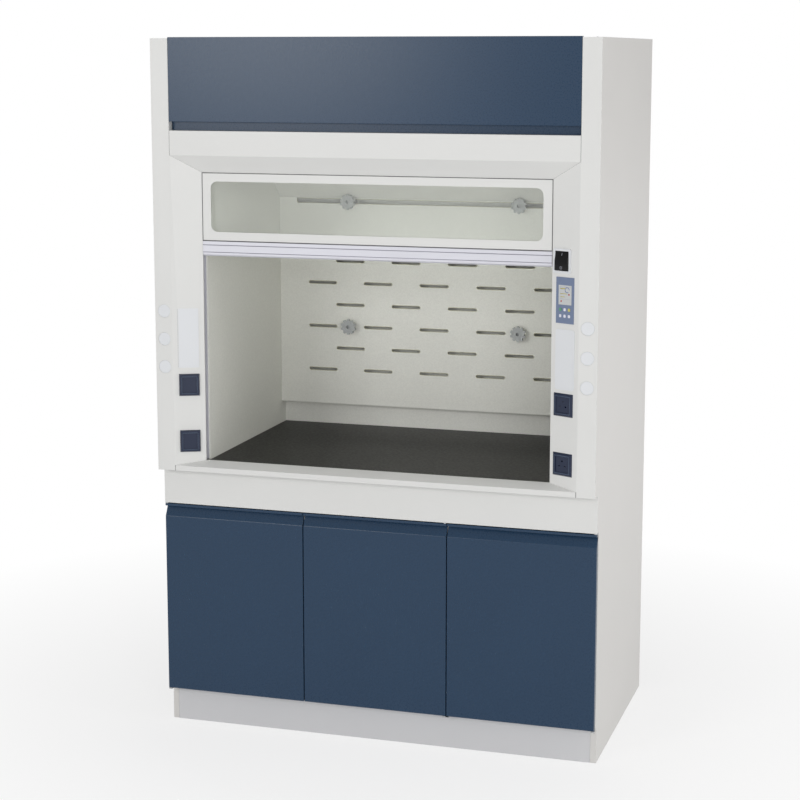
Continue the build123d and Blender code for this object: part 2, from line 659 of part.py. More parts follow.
def window_frame():
    """The fixed window's plate with its rounded opening and the rebate for the pane."""
    place, width, height = window_opening()
    edge = MOUTH_X - SEAM
    back = BEVEL_DEPTH + WINDOW_PLATE
    body = block(-edge, edge, BEVEL_DEPTH, back, WINDOW_FOOT, MOUTH_TOP - SEAM)
    body -= facing(place * RectangleRounded(width, height, WINDOW_CORNER), 0, 2 * back)
    rebate = Rectangle(width + 2 * PANE_REBATE, height + 2 * PANE_REBATE)
    return body - facing(place * rebate, back - PANE_THICKNESS, back + SHEET)


def window_pane():
    """The fixed window's glass, in the rebate behind the plate."""
    place, width, height = window_opening()
    side = 2 * (PANE_REBATE - GLASS_PLAY)
    back = BEVEL_DEPTH + WINDOW_PLATE
    return facing(place * Rectangle(width + side, height + side), back - PANE_THICKNESS, back)


# Working chamber

def worktop():
    """The black slab that the work stands on."""
    edge = LINER_X - SEAM
    front = BEVEL_DEPTH + SILL_SHELF + SEAM
    slab = block(-edge, edge, front, BACK_LINER_DEPTH - SEAM, WORKTOP_BOTTOM, WORKTOP_TOP)
    return slab - block(-GUIDE_WEB, SEAM - MOUTH_X, 0, LINER_FRONT, 0, HEIGHT)


def side_liner(side):
    """A side wall of the chamber."""
    x0, x1 = sorted((side * LINER_X, side * (LINER_X + LINER)))
    back = BACK_LINER_DEPTH + LINER
    return block(x0, x1, LINER_FRONT, back, WORKTOP_BOTTOM, CEILING_HEIGHT + LINER)


def back_liner():
    """The wall behind the baffle."""
    edge = LINER_X - SEAM
    back = BACK_LINER_DEPTH + LINER
    return block(-edge, edge, BACK_LINER_DEPTH, back, WORKTOP_BOTTOM, CEILING_HEIGHT + LINER)


def ceiling():
    """The chamber's ceiling, with the exhaust hole and the cut-out of the lamp."""
    edge = LINER_X - SEAM
    low, high = CEILING_HEIGHT, CEILING_HEIGHT + LINER
    body = block(-edge, edge, LINER_FRONT, BACK_LINER_DEPTH - SEAM, low, high)
    body -= block(-LAMP_HALF, LAMP_HALF, LAMP_FRONT, LAMP_BACK, low - LINER, high + LINER)
    hole = SPIGOT_RADIUS + SPIGOT_WALL
    return body - cylinder_z(0, SPIGOT_DEPTH, hole, low - LINER, high + LINER)


def exhaust_spigot():
    """The duct stub that rises from the ceiling to the roof."""
    outer = SPIGOT_RADIUS + SPIGOT_WALL
    foot = CEILING_HEIGHT + LINER
    body = cylinder_z(0, SPIGOT_DEPTH, outer, foot, FRAME_TOP)
    body += cylinder_z(0, SPIGOT_DEPTH, outer + SPIGOT_FLANGE, foot, foot + SHEET)
    return body - cylinder_z(0, SPIGOT_DEPTH, SPIGOT_RADIUS, foot - SHEET, FRAME_TOP + SHEET)


def lamp_housing():
    """The lamp's tray on top of the ceiling, open downwards."""
    foot = CEILING_HEIGHT + LINER
    rim = LAMP_HALF + LAMP_FLANGE
    body = block(-rim, rim, LAMP_FRONT - LAMP_FLANGE, LAMP_BACK + LAMP_FLANGE, foot, foot + SHEET)
    wall = SHEET
    body += block(-LAMP_HALF - wall, LAMP_HALF + wall, LAMP_FRONT - wall, LAMP_BACK + wall,
                  foot, foot + LAMP_HEIGHT)
    return body - block(-LAMP_HALF, LAMP_HALF, LAMP_FRONT, LAMP_BACK, foot - wall, foot + LAMP_HEIGHT - wall)


def lamp_lens():
    """The lamp's diffuser, flush in the ceiling."""
    edge = LAMP_HALF - SEAM
    low = CEILING_HEIGHT + LINER - LENS_THICKNESS
    return block(-edge, edge, LAMP_FRONT + SEAM, LAMP_BACK - SEAM, low, low + LENS_THICKNESS)


def slot_places():
    """Middles of the exhaust slots: full rows with rows of one slot fewer between them."""
    places = []
    for row in range(SLOT_ROWS):
        count = SLOT_COLUMNS - 1 if row % 2 == 0 else SLOT_COLUMNS
        z = SLOT_TOP_ROW - row * SLOT_ROW_PITCH
        places += [((column - (count - 1) / 2) * SLOT_PITCH, z) for column in range(count)]
    return places


def baffle_lower():
    """The upright baffle with its rows of slots, the long slot at its top and the stud holes."""
    edge = LINER_X - SEAM
    back = BAFFLE_DEPTH + LINER
    body = block(-edge, edge, BAFFLE_DEPTH, back, BAFFLE_BOTTOM, BAFFLE_FOLD)
    cuts = Sketch() + [Pos(x, z) * SlotOverall(SLOT_WIDTH, SLOT_HEIGHT) for x, z in slot_places()]
    cuts += [Pos(x, KNOB_LOWER) * Circle(STUD_RADIUS + SEAM) for x in (-KNOB_X, KNOB_X)]
    long_slot = Rectangle(2 * LONG_SLOT_HALF, LONG_SLOT_HEIGHT)
    cuts += Pos(0, LONG_SLOT_TOP - LONG_SLOT_HEIGHT / 2) * long_slot
    return body - facing(cuts, BAFFLE_DEPTH - LINER, back + LINER)


def baffle_upper():
    """The slanted baffle from the fold up and forwards, short of the ceiling."""
    edge = LINER_X - SEAM
    foot = BAFFLE_FOLD + SEAM
    top = (BAFFLE_DEPTH - BAFFLE_RUN, foot + BAFFLE_RISE)
    outline = [(BAFFLE_DEPTH, foot), (BAFFLE_DEPTH + LINER, foot), (top[0] + LINER, top[1]), top]
    return along_x(outline, -edge, edge)


def knob_places():
    """Middles of the four knobs."""
    return [(x, z) for z in (KNOB_UPPER, KNOB_LOWER) for x in (-KNOB_X, KNOB_X)]


def star_knob(x, z):
    """A clamp knob: notched star with a dished face and an open eye, on a boss bored for its stud."""
    rear = BAFFLE_DEPTH - KNOB_BOSS
    front = rear - KNOB_THICKNESS
    step = 2 * pi / KNOB_LOBES
    notches = [Pos(KNOB_RADIUS * cos(step * turn), KNOB_RADIUS * sin(step * turn)) * Circle(KNOB_NOTCH)
               for turn in range(KNOB_LOBES)]
    rim = Circle(KNOB_RADIUS) - notches
    body = facing(Pos(x, z) * rim, front, rear)
    dish = Circle(KNOB_RADIUS - 2 * KNOB_NOTCH + KNOB_DISH) - Circle(KNOB_HUB)
    body -= facing(Pos(x, z) * dish, front - SHEET, front + KNOB_DISH)
    body += cylinder_y(x, z, KNOB_HUB, rear, BAFFLE_DEPTH - KNOB_GAP)
    body -= cylinder_y(x, z, KNOB_EYE, front - SHEET, rear)
    return body - cylinder_y(x, z, STUD_RADIUS + RUNNING_FIT, front, BAFFLE_DEPTH)


def baffle_studs():
    """Threaded studs from the back liner, each with the collar that spaces the baffle off."""
    studs = []
    for x, z in knob_places():
        stud = cylinder_y(x, z, STUD_RADIUS, BAFFLE_DEPTH - STUD_ENGAGEMENT, BACK_LINER_DEPTH)
        studs.append(stud + cylinder_y(x, z, STUD_COLLAR, BAFFLE_DEPTH + LINER, BACK_LINER_DEPTH))
    return studs


# Sash

def sash_handle():
    """The sash's bottom rail: banded face, and a channel on its back that takes the glass."""
    top, foot = HANDLE_TOP, HANDLE_BOTTOM
    band_top, band_foot = top - HANDLE_BAND_TOP, foot + HANDLE_BAND_FOOT
    face = HANDLE_FRONT + HANDLE_BAND_RAISE
    groove = face + HANDLE_GROOVE
    rear = STILE_BACK
    outline = [
        (rear, top), (face, top), (face, band_top + HANDLE_GROOVE / 2), (groove, band_top + HANDLE_GROOVE / 2),
        (groove, band_top - HANDLE_GROOVE / 2), (HANDLE_FRONT, band_top - HANDLE_GROOVE / 2),
        (HANDLE_FRONT, band_foot + HANDLE_GROOVE / 2), (groove, band_foot + HANDLE_GROOVE / 2),
        (groove, band_foot - HANDLE_GROOVE / 2), (face, band_foot - HANDLE_GROOVE / 2),
        (face, foot + HANDLE_CHAMFER), (face + HANDLE_CHAMFER, foot), (rear, foot),
    ]
    edge = MOUTH_X - HANDLE_SIDE_GAP
    body = along_x(outline, -edge, edge)
    tongue = STILE_INNER - KNOB_GAP
    body += block(-tongue, tongue, STILE_FRONT, rear, foot, top)
    glass_front, glass_back = GLASS_DEPTH - GLASS_PLAY, GLASS_DEPTH + GLASS_THICKNESS + GLASS_PLAY
    return body - block(-HALF, HALF, glass_front, glass_back, top - GLASS_IN_HANDLE, top + SHEET)


def sash_glass():
    """The sliding pane, from its channel in the handle to just under the hood's top."""
    edge = STILE_INNER + STILE_GRIP - GLASS_PLAY
    foot = HANDLE_TOP - GLASS_IN_HANDLE + GLASS_PLAY
    return block(-edge, edge, GLASS_DEPTH, GLASS_DEPTH + GLASS_THICKNESS, foot, GLASS_TOP)


def sash_stile(side):
    """An edge rail of the sash, with the lug that the cable is fixed to."""
    foot = HANDLE_BOTTOM + BLADE_FOOT
    x0, x1 = sorted((side * STILE_INNER, side * STILE_OUTER))
    body = block(x0, x1, STILE_FRONT, STILE_BACK, foot, GLASS_TOP)
    x0, x1 = sorted((side * (STILE_INNER - SHEET), side * (STILE_INNER + STILE_GRIP)))
    glass_front, glass_back = GLASS_DEPTH - GLASS_PLAY, GLASS_DEPTH + GLASS_THICKNESS + GLASS_PLAY
    body -= block(x0, x1, glass_front, glass_back, HANDLE_TOP - GLASS_IN_HANDLE, HEIGHT)
    x0, x1 = sorted((side * STILE_OUTER, side * (STILE_OUTER + LUG_REACH)))
    return body + block(x0, x1, STILE_FRONT, STILE_BACK, foot, LUG_TOP)


def sash_guide(side):
    """The channel that a stile slides in, behind the post's bevel."""
    outer = GUIDE_WEB + GUIDE_WALL
    x0, x1 = sorted((side * STILE_INNER, side * outer))
    body = block(x0, x1, GUIDE_FRONT, GUIDE_BACK, SILL_TOP + SEAM, GUIDE_TOP)
    x0, x1 = sorted((side * (STILE_INNER - SHEET), side * GUIDE_WEB))
    front, back = GUIDE_FRONT + GUIDE_WALL, GUIDE_BACK - GUIDE_WALL
    return body - block(x0, x1, front, back, 0, HEIGHT)


def seal_blade():
    """The blade behind the glass that closes the gap over the lowered sash."""
    edge = LINER_X - SEAM
    foot = HANDLE_BOTTOM + BLADE_FOOT
    top = foot + BLADE_HEIGHT
    back = GUIDE_BACK - GUIDE_PLAY
    tab = LINER_FRONT + BLADE_TAB
    outline = folded([(edge, tab), (edge, back - SHEET), (-edge, back - SHEET), (-edge, tab)][::-1], SHEET)
    return along_z(outline, foot, top)


# Counterbalance

def pulley(side):
    """A grooved pulley with a thin web and a bored hub, turning about X."""
    half = PULLEY_WIDTH / 2
    rim = PULLEY_PITCH + PULLEY_RIM
    bore = AXLE_RADIUS + RUNNING_FIT
    inner = PULLEY_PITCH - 2 * PULLEY_RIM
    profile = Polygon((bore, -half), (PULLEY_HUB, -half), (PULLEY_HUB, -PULLEY_WEB / 2),
                      (inner, -PULLEY_WEB / 2), (inner, -half), (rim, -half), (rim, half), (inner, half),
                      (inner, PULLEY_WEB / 2), (PULLEY_HUB, PULLEY_WEB / 2), (PULLEY_HUB, half),
                      (bore, half), align=None)
    seat = CABLE_RADIUS + KNOB_GAP
    profile -= Pos(PULLEY_PITCH, 0) * Circle(seat)
    profile -= Pos(PULLEY_PITCH + PULLEY_RIM, 0) * Rectangle(2 * PULLEY_RIM, 2 * seat)
    centre = (side * CABLE_X, FRONT + PULLEY_DEPTH, PULLEY_Z)
    wheel = revolve(Plane.XZ * profile, Axis.Z)
    return Plane(origin=centre, x_dir=(0, 1, 0), z_dir=(1, 0, 0)) * wheel


def pulley_bracket(side):
    """A fork under the roof, with the pulley's axle through it."""
    inner = PULLEY_WIDTH / 2 + CHEEK_GAP
    outer = inner + CHEEK
    x = side * CABLE_X
    front, back = PULLEY_DEPTH - CHEEK_WIDTH / 2, PULLEY_DEPTH + CHEEK_WIDTH / 2
    foot, top = PULLEY_Z - CHEEK_WIDTH / 2, FRAME_TOP - SHEET
    body = block(x - outer, x + outer, front, back, foot, top)
    body -= block(x - inner, x + inner, 0, DEPTH, 0, top - CHEEK)
    axle = Plane(origin=(x, FRONT + PULLEY_DEPTH, PULLEY_Z), x_dir=(0, 1, 0), z_dir=(1, 0, 0))
    body += axle * Cylinder(AXLE_RADIUS, 2 * outer)
    for end in (-1, 1):
        head = Pos(0, 0, end * (outer + AXLE_HEAD_LENGTH / 2)) * Cylinder(AXLE_HEAD, AXLE_HEAD_LENGTH)
        body += axle * head
    return body


def cable_wrap(side):
    """The bend of a cable over its pulley."""
    ring = revolve(Plane.XZ * (Pos(PULLEY_PITCH, 0) * Circle(CABLE_RADIUS)), Axis.Z, 180)
    centre = (side * CABLE_X, FRONT + PULLEY_DEPTH, PULLEY_Z)
    return Plane(origin=centre, x_dir=(0, 1, 0), z_dir=(1, 0, 0)) * ring


def sash_cable(side):
    """The run of cable from the sash's lug up to the pulley."""
    return cylinder_z(side * CABLE_X, CABLE_DEPTH, CABLE_RADIUS, LUG_TOP, PULLEY_Z)


def weight_cable(side):
    """The run of cable from the pulley down to the counterweight."""
    return cylinder_z(side * CABLE_X, WEIGHT_CABLE_DEPTH, CABLE_RADIUS, WEIGHT_TOP, PULLEY_Z)


def counterweight(side):
    """A steel bar that balances half of the sash."""
    x = side * CABLE_X
    half, deep = WEIGHT_WIDTH / 2, WEIGHT_DEPTH / 2
    return block(x - half, x + half, WEIGHT_CABLE_DEPTH - deep, WEIGHT_CABLE_DEPTH + deep,
                 WEIGHT_TOP - WEIGHT_HEIGHT, WEIGHT_TOP)


# Fittings on the posts

def raised_frame(plane, width, height, raise_by, slope):
    """A raised plate whose four edges slope in."""
    outer = plane * Rectangle(width, height)
    inner = plane.offset(raise_by) * Rectangle(width - 2 * slope, height - 2 * slope)
    return loft([outer.face(), inner.face()])


def back_box(plane):
    """The box of a socket behind the post's sheet."""
    return plate(plane, Rectangle(SOCKET_BOX_WIDTH, SOCKET_BOX_HEIGHT), -SOCKET_BOX_DEPTH, 0)


def left_socket(z):
    """A left socket outlet: raised frame round a plain recessed cover."""
    plane = bevel_plane(-1, SOCKET_LEFT_X, z)
    width, height = SOCKET_LEFT_WIDTH, SOCKET_HEIGHT
    body = raised_frame(plane, width, height, SOCKET_LEFT_RAISE, SOCKET_SLOPE / 2)
    recess = Rectangle(width - 2 * SOCKET_FRAME, height - 2 * SOCKET_FRAME)
    body -= plate(plane, recess, SOCKET_LEFT_RAISE - SOCKET_RECESS, SOCKET_LEFT_RAISE + SHEET)
    return body + back_box(plane)


def right_socket(z):
    """A right socket outlet: sloped frame, recessed face and three contact holes."""
    plane = bevel_plane(1, SOCKET_RIGHT_X, z)
    width, height = SOCKET_RIGHT_WIDTH, SOCKET_HEIGHT
    body = raised_frame(plane, width, height, SOCKET_RIGHT_RAISE, SOCKET_SLOPE)
    recess = Rectangle(width - 2 * SOCKET_FRAME - SOCKET_SLOPE, height - 2 * SOCKET_FRAME - SOCKET_SLOPE)
    floor = SOCKET_RIGHT_RAISE - SOCKET_RECESS
    body -= plate(plane, recess, floor, SOCKET_RIGHT_RAISE + SHEET)
    body += back_box(plane)
    spread = SOCKET_PIN_SPREAD
    holes = Sketch() + [Pos(x, y) * Circle(SOCKET_PIN)
                        for x, y in ((0, spread), (-spread, -spread / 2), (spread, -spread / 2))]
    return body - plate(plane, holes, floor - SOCKET_PIN_DEPTH, SOCKET_RIGHT_RAISE)


def cover(side):
    """A blank cover plate over the sockets: square on the left post, rounded on the right."""
    if side < 0:
        plane = bevel_plane(-1, SOCKET_LEFT_X, COVER_LEFT_Z)
        return plate(plane, Rectangle(COVER_LEFT_WIDTH, COVER_LEFT_HEIGHT), 0, COVER_RAISE)
    plane = bevel_plane(1, COVER_RIGHT_X, COVER_RIGHT_Z)
    outline = RectangleRounded(COVER_RIGHT_WIDTH, COVER_RIGHT_HEIGHT, COVER_CORNER)
    return plate(plane, outline, 0, COVER_RAISE)


def service_plug(side, z):
    """A flush plug that closes a service hole, with the tube that grips behind it."""
    disc = cylinder_y(side * PLUG_X, z, PLUG_RADIUS, 0, SHEET)
    front_edges = disc.edges().group_by(Axis.Y)[0]
    disc = chamfer(front_edges, PLUG_CHAMFER)
    return disc + cylinder_y(side * PLUG_X, z, PLUG_TUBE, SHEET, PLUG_TUBE_LENGTH)


def switch_frame():
    """The rocker's frame: a raised bezel and a box behind it with the two pivot holes."""
    plane = bevel_plane(1, SWITCH_X, SWITCH_Z)
    width, height = ROCKER_WIDTH + 2 * ROCKER_GAP, ROCKER_HEIGHT + 2 * ROCKER_GAP
    body = plate(plane, RectangleRounded(SWITCH_WIDTH, SWITCH_HEIGHT, SWITCH_CORNER), 0, SWITCH_RAISE)
    shell = Rectangle(width + 2 * SWITCH_WALL, height + 2 * SWITCH_WALL)
    body += plate(plane, shell, -SWITCH_BOX_DEPTH, 0)
    body -= plate(plane, Rectangle(width, height), SWITCH_WALL - SWITCH_BOX_DEPTH, SWITCH_RAISE + SHEET)
    hole = Cylinder(TRUNNION_RADIUS + RUNNING_FIT, width + 2 * TRUNNION_LENGTH)
    return body - plane * (Pos(0, 0, ROCKER_PIVOT) * (Rot(0, 90, 0) * hole))


def rocker():
    """The mains rocker: two flats that meet in a ridge, on two trunnions."""
    plane = bevel_plane(1, SWITCH_X, SWITCH_Z)
    half = ROCKER_HEIGHT / 2
    section = Polygon((-half, -ROCKER_EDGE), (half, -ROCKER_EDGE), (half, ROCKER_EDGE), (0, ROCKER_RIDGE),
                      (-half, ROCKER_EDGE), align=None)
    body = extrude(Plane.YZ.offset(-ROCKER_WIDTH / 2) * section, ROCKER_WIDTH)
    body += Rot(0, 90, 0) * Cylinder(TRUNNION_RADIUS, ROCKER_WIDTH + 2 * (ROCKER_GAP + TRUNNION_LENGTH - SEAM))
    return plane * (Pos(0, 0, ROCKER_PIVOT) * (Rot(-ROCKER_TILT, 0, 0) * body))


def key_places():
    """Middles of the six keys on the control panel, row by row."""
    rows = (KEY_TOP_ROW, KEY_TOP_ROW - KEY_ROW_PITCH)
    return [(KEY_PITCH * column, y) for y in rows for column in (-1, 0, 1)]


def control_bezel():
    """The control panel's front with its screen window, six key holes and the rim behind."""
    plane = bevel_plane(1, CONTROL_X, CONTROL_Z)
    width, height = CONTROL_WIDTH - 2 * CONTROL_RIM, CONTROL_HEIGHT - 2 * CONTROL_RIM
    body = plate(plane, Rectangle(CONTROL_WIDTH, CONTROL_HEIGHT), 0, CONTROL_RAISE)
    wall = 2 * CONTROL_RIM_WALL
    rim = Rectangle(width, height) - Rectangle(width - wall, height - wall)
    body += plate(plane, rim, -CONTROL_BOX_DEPTH, 0)
    cuts = Sketch() + Pos(0, SCREEN_Z) * Rectangle(SCREEN_WIDTH, SCREEN_HEIGHT)
    hole = RectangleRounded(KEY_WIDTH + 2 * KEY_GAP, KEY_HEIGHT + 2 * KEY_GAP, KEY_CORNER + KEY_GAP)
    cuts += [Pos(x, y) * hole for x, y in key_places()]
    return body - plate(plane, cuts, -SHEET, CONTROL_RAISE + SHEET)


def display():
    """The control board with the screen on it, seated inside the bezel's rim."""
    plane = bevel_plane(1, CONTROL_X, CONTROL_Z)
    less = 2 * (CONTROL_RIM + CONTROL_RIM_WALL + SCREEN_GAP)
    board = Rectangle(CONTROL_WIDTH - less, CONTROL_HEIGHT - less)
    body = plate(plane, board, -BOARD_DEPTH, BOARD_THICKNESS - BOARD_DEPTH)
    glass = Rectangle(SCREEN_WIDTH - 2 * SCREEN_GAP, SCREEN_HEIGHT - 2 * SCREEN_GAP)
    top = CONTROL_RAISE - SCREEN_SUNK
    return body + plate(plane, Pos(0, SCREEN_Z) * glass, BOARD_THICKNESS - BOARD_DEPTH, top)


def key(x, y):
    """A key cap and the flange that stops it under the bezel."""
    plane = bevel_plane(1, CONTROL_X, CONTROL_Z)
    cap = Pos(x, y) * RectangleRounded(KEY_WIDTH, KEY_HEIGHT, KEY_CORNER)
    flange = Pos(x, y) * Rectangle(KEY_WIDTH + 2 * KEY_FLANGE, KEY_HEIGHT + 2 * KEY_FLANGE)
    body = plate(plane, cap, -KEY_SEAT, CONTROL_RAISE + KEY_RAISE)
    return body + plate(plane, flange, -KEY_SEAT - KEY_FLANGE_THICKNESS, -KEY_SEAT)


def pieces():
    """Every piece of the hood, by the name of its node."""
    sockets = (SOCKET_UPPER, SOCKET_UPPER - SOCKET_PITCH)
    parts = {
        "side_panel_left": side_panel(-1),
        "side_panel_right": side_panel(1),
        "back_panel": back_panel(),
        "roof_panel": roof_panel(),
        "exhaust_spigot": exhaust_spigot(),
        "base_floor": base_floor(),
        "base_top": base_top(),
        "partitions": [partition(-1), partition(1)],
        "apron": apron(),
        "plinth": plinth(),
        "levelling_feet": levelling_feet(),
        "door_pivots": door_pivots(),
        "post_left": post(-1),
        "post_right": post(1),
        "lintel": lintel(),
        "sill": sill(),
        "fascia": fascia(),
        "window_frame": window_frame(),
        "window_pane": window_pane(),
        "worktop": worktop(),
        "side_liners": [side_liner(-1), side_liner(1)],
        "back_liner": back_liner(),
        "ceiling": ceiling(),
        "lamp_housing": lamp_housing(),
        "lamp_lens": lamp_lens(),
        "baffle_lower": baffle_lower(),
        "baffle_upper": baffle_upper(),
        "baffle_studs": baffle_studs(),
        "seal_blade": seal_blade(),
        "sash_guides": [sash_guide(-1), sash_guide(1)],
        "sash_glass": sash_glass(),
        "sash_handle": sash_handle(),
        "sash_stiles": [sash_stile(-1), sash_stile(1)],
        "sash_cables": [sash_cable(-1), sash_cable(1)],
        "weight_cables": [weight_cable(-1), weight_cable(1)],
        "cable_wraps": [cable_wrap(-1), cable_wrap(1)],
        "pulley_brackets": [pulley_bracket(-1), pulley_bracket(1)],
        "pulley_left": pulley(-1),
        "pulley_right": pulley(1),
        "counterweights": [counterweight(-1), counterweight(1)],
        "sockets": [left_socket(z) for z in sockets] + [right_socket(z) for z in sockets],
        "post_covers": [cover(-1), cover(1)],
        "service_plugs": [service_plug(side, z) for side in (-1, 1) for z in service_places()],
        "switch_frame": switch_frame(),
        "rocker": rocker(),
        "control_bezel": control_bezel(),
        "display": display(),
    }
    for name, (x0, x1, hinge_side) in door_places().items():
        parts[name] = door(x0, x1, hinge_side)
    for number, (x, z) in enumerate(knob_places(), start=1):
        parts[f"knob_{number}"] = star_knob(x, z)
    for number, (x, y) in enumerate(key_places(), start=1):
        parts[f"key_{number}"] = key(x, y)
    return parts


os.makedirs("parts", exist_ok=True)
for name, shape in pieces().items():
    if isinstance(shape, list):
        shape = Compound([solid for piece in shape for solid in piece.solids()])
    export_step(shape, f"parts/{name}.step")
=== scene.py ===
"""A fume hood on a three-door base cabinet, dressed for rendering and laid out as an add-on."""
import json
import math

import bmesh
import bpy
from mathutils import Matrix, Vector
from mathutils.bvhtree import BVHTree
from mathutils.geometry import area_tri, intersect_point_line

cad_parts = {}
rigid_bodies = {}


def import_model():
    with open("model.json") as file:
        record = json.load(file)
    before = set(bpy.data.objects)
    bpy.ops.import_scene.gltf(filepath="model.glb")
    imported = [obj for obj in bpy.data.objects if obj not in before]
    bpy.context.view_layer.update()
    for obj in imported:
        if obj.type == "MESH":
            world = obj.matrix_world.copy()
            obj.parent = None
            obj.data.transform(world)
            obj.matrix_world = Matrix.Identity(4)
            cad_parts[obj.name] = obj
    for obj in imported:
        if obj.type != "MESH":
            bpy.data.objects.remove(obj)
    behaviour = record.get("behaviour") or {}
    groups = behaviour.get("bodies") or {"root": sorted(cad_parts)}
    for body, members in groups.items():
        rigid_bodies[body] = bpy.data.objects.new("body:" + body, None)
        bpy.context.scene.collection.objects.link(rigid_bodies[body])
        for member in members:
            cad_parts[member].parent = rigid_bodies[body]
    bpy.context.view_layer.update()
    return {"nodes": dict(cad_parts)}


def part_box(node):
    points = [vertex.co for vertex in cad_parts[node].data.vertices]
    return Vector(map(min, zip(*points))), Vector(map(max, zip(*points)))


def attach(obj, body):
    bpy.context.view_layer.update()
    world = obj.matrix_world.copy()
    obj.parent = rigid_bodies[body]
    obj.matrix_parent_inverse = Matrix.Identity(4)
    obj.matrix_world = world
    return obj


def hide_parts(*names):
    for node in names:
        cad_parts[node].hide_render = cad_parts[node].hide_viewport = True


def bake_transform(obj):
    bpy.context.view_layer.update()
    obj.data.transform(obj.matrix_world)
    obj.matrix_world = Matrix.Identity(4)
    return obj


bl_info = {
    "name": "Fume hood dressing",
    "version": (1, 0, 0),
    "blender": (4, 5, 0),
    "location": "3D View > Sidebar > Fume hood",
    "description": "Dresses the packed fume hood with finishes, folded edges, fasteners and fittings",
    "category": "Object",
}

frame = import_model()

MM = 0.001

# Lines of the hood, read from its own nodes. X runs right, Y back and Z up.
PANEL_GAP = 0.5 * MM      # joint between two front panels
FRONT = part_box("post_left")[0].y
FLAT_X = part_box("fascia")[1].x + PANEL_GAP
MOUTH_X = -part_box("post_left")[1].x
BEVEL_DEPTH = 44 * MM
BAFFLE_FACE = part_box("baffle_lower")[0].y

BEVEL_WIDTH = FLAT_X - MOUTH_X
BEVEL_LENGTH = math.hypot(BEVEL_WIDTH, BEVEL_DEPTH)
ACROSS = BEVEL_WIDTH / BEVEL_LENGTH
SLANT = BEVEL_DEPTH / BEVEL_LENGTH
LINTEL_BREAK = 1967 * MM  # heights at which the lintel and the sill turn into their bevels
SILL_BREAK = 925 * MM

# Middles of the fittings on the bevels: sideways from the hood's middle, and over the floor
SCREEN_X, SCREEN_Z, SCREEN_RISE = 640.5 * MM, 1550 * MM, 1.4 * MM
ROCKER_X, ROCKER_Z = 629 * MM, 1656.5 * MM
SOCKET_X = {-1: 640.5 * MM, 1: 638.5 * MM}
SOCKET_ROWS = (1199.5 * MM, 1007.5 * MM)
COVER_X, COVER_FOOT = 640.5 * MM, 1262 * MM

# The baffle's slots, and the middles of their rows
SLOT_WIDTH, SLOT_HEIGHT, SLOT_PITCH, SLOT_ROW_PITCH = 107 * MM, 11 * MM, 212 * MM, 80.4 * MM
SLOT_COLUMNS, SLOT_ROWS, SLOT_MIDDLE = 5, 6, 1349 * MM
LONG_SLOT_WIDTH, LONG_SLOT_HEIGHT, LONG_SLOT_MIDDLE = 1042 * MM, 17 * MM, 1768.5 * MM

# Dark strips of painted shade along the panel joints, the beads round the fixed window, and lines of painted
# shade in the handle's grooves
SEAM_SHADE_RADIUS, SEAM_SHADE_DEPTH, SEAM_SHADE_SPREAD = 0.9 * MM, 1.05 * MM, 2.0 * MM
BEAD_WIDTH, BEAD_RISE, FOOT_BEAD_WIDTH = 1.8 * MM, 0.9 * MM, 2.2 * MM
GROOVE_FEET, GROOVE_LINE = (1646.2 * MM, 1669.7 * MM), 1.6 * MM
GROOVE_DEPTH, GROOVE_FILL = 3.5 * MM, 0.6 * MM

# The studio floor, which lies just under the feet
FLOOR_SPAN, FLOOR_DROP = 60.0, 0.5 * MM

# Printed marks. The DOT_ sizes are for a dashed line of painted shade beside the left post's cover
PRINT_LIFT = 0.06 * MM
ROCKER_PRINT_LIFT = 0.1 * MM
SOCKET_LINE, SOCKET_LINE_HEIGHT = 1.2 * MM, 58 * MM
SOCKET_LINE_WIDTH = {-1: 52 * MM, 1: 59 * MM}
DOT_SIDE, DOT_PITCH, DOT_WIDTH, DOT_HEIGHT, DOT_RISE = -36 * MM, 6 * MM, 1.2 * MM, 3 * MM, 0.3 * MM
DOT_COUNT = 33

MERGE = 0.01 * MM         # CAD corners closer than this are one
FLAT = math.radians(0.2)  # faces within this angle are one flat
SHARP = math.radians(25)  # edges beyond this angle are rounded
PRINT_REACH = 40 * MM     # marks are dropped on to their surface from this height


def linear(text):
    """Linear RGBA from an sRGB hex colour."""
    channels = [int(text[start:start + 2], 16) / 255 for start in (1, 3, 5)]
    return tuple(c / 12.92 if c <= 0.04045 else ((c + 0.055) / 1.055) ** 2.4 for c in channels) + (1.0,)


def add_node(tree, kind, inputs=None, **settings):
    """Adds a node with its settings, and fills its inputs with values or with other nodes' outputs."""
    made = tree.nodes.new(kind)
    for name, value in settings.items():
        setattr(made, name, value)
    for socket, value in (inputs or {}).items():
        if isinstance(value, bpy.types.NodeSocket):
            tree.links.new(value, made.inputs[socket])
        else:
            made.inputs[socket].default_value = value
    return made


def maths(tree, operation, one, two):
    """The result of a sum on two numbers or outputs."""
    return add_node(tree, "ShaderNodeMath", {0: one, 1: two}, operation=operation).outputs[0]


# Sizes and colours that a user would change

def colour_property(name, text, description):
    """A colour setting whose default is an sRGB hex value."""
    return bpy.props.FloatVectorProperty(
        name=name, description=description, subtype="COLOR", size=4, min=0, max=1, default=linear(text))


def length_property(name, value, description):
    """A length setting in metres."""
    return bpy.props.FloatProperty(
        name=name, description=description, default=value, min=0, unit="LENGTH", precision=5)


def power_property(name, value, description):
    """A lamp's power setting in watts."""
    return bpy.props.FloatProperty(name=name, description=description, unit="POWER", default=value)


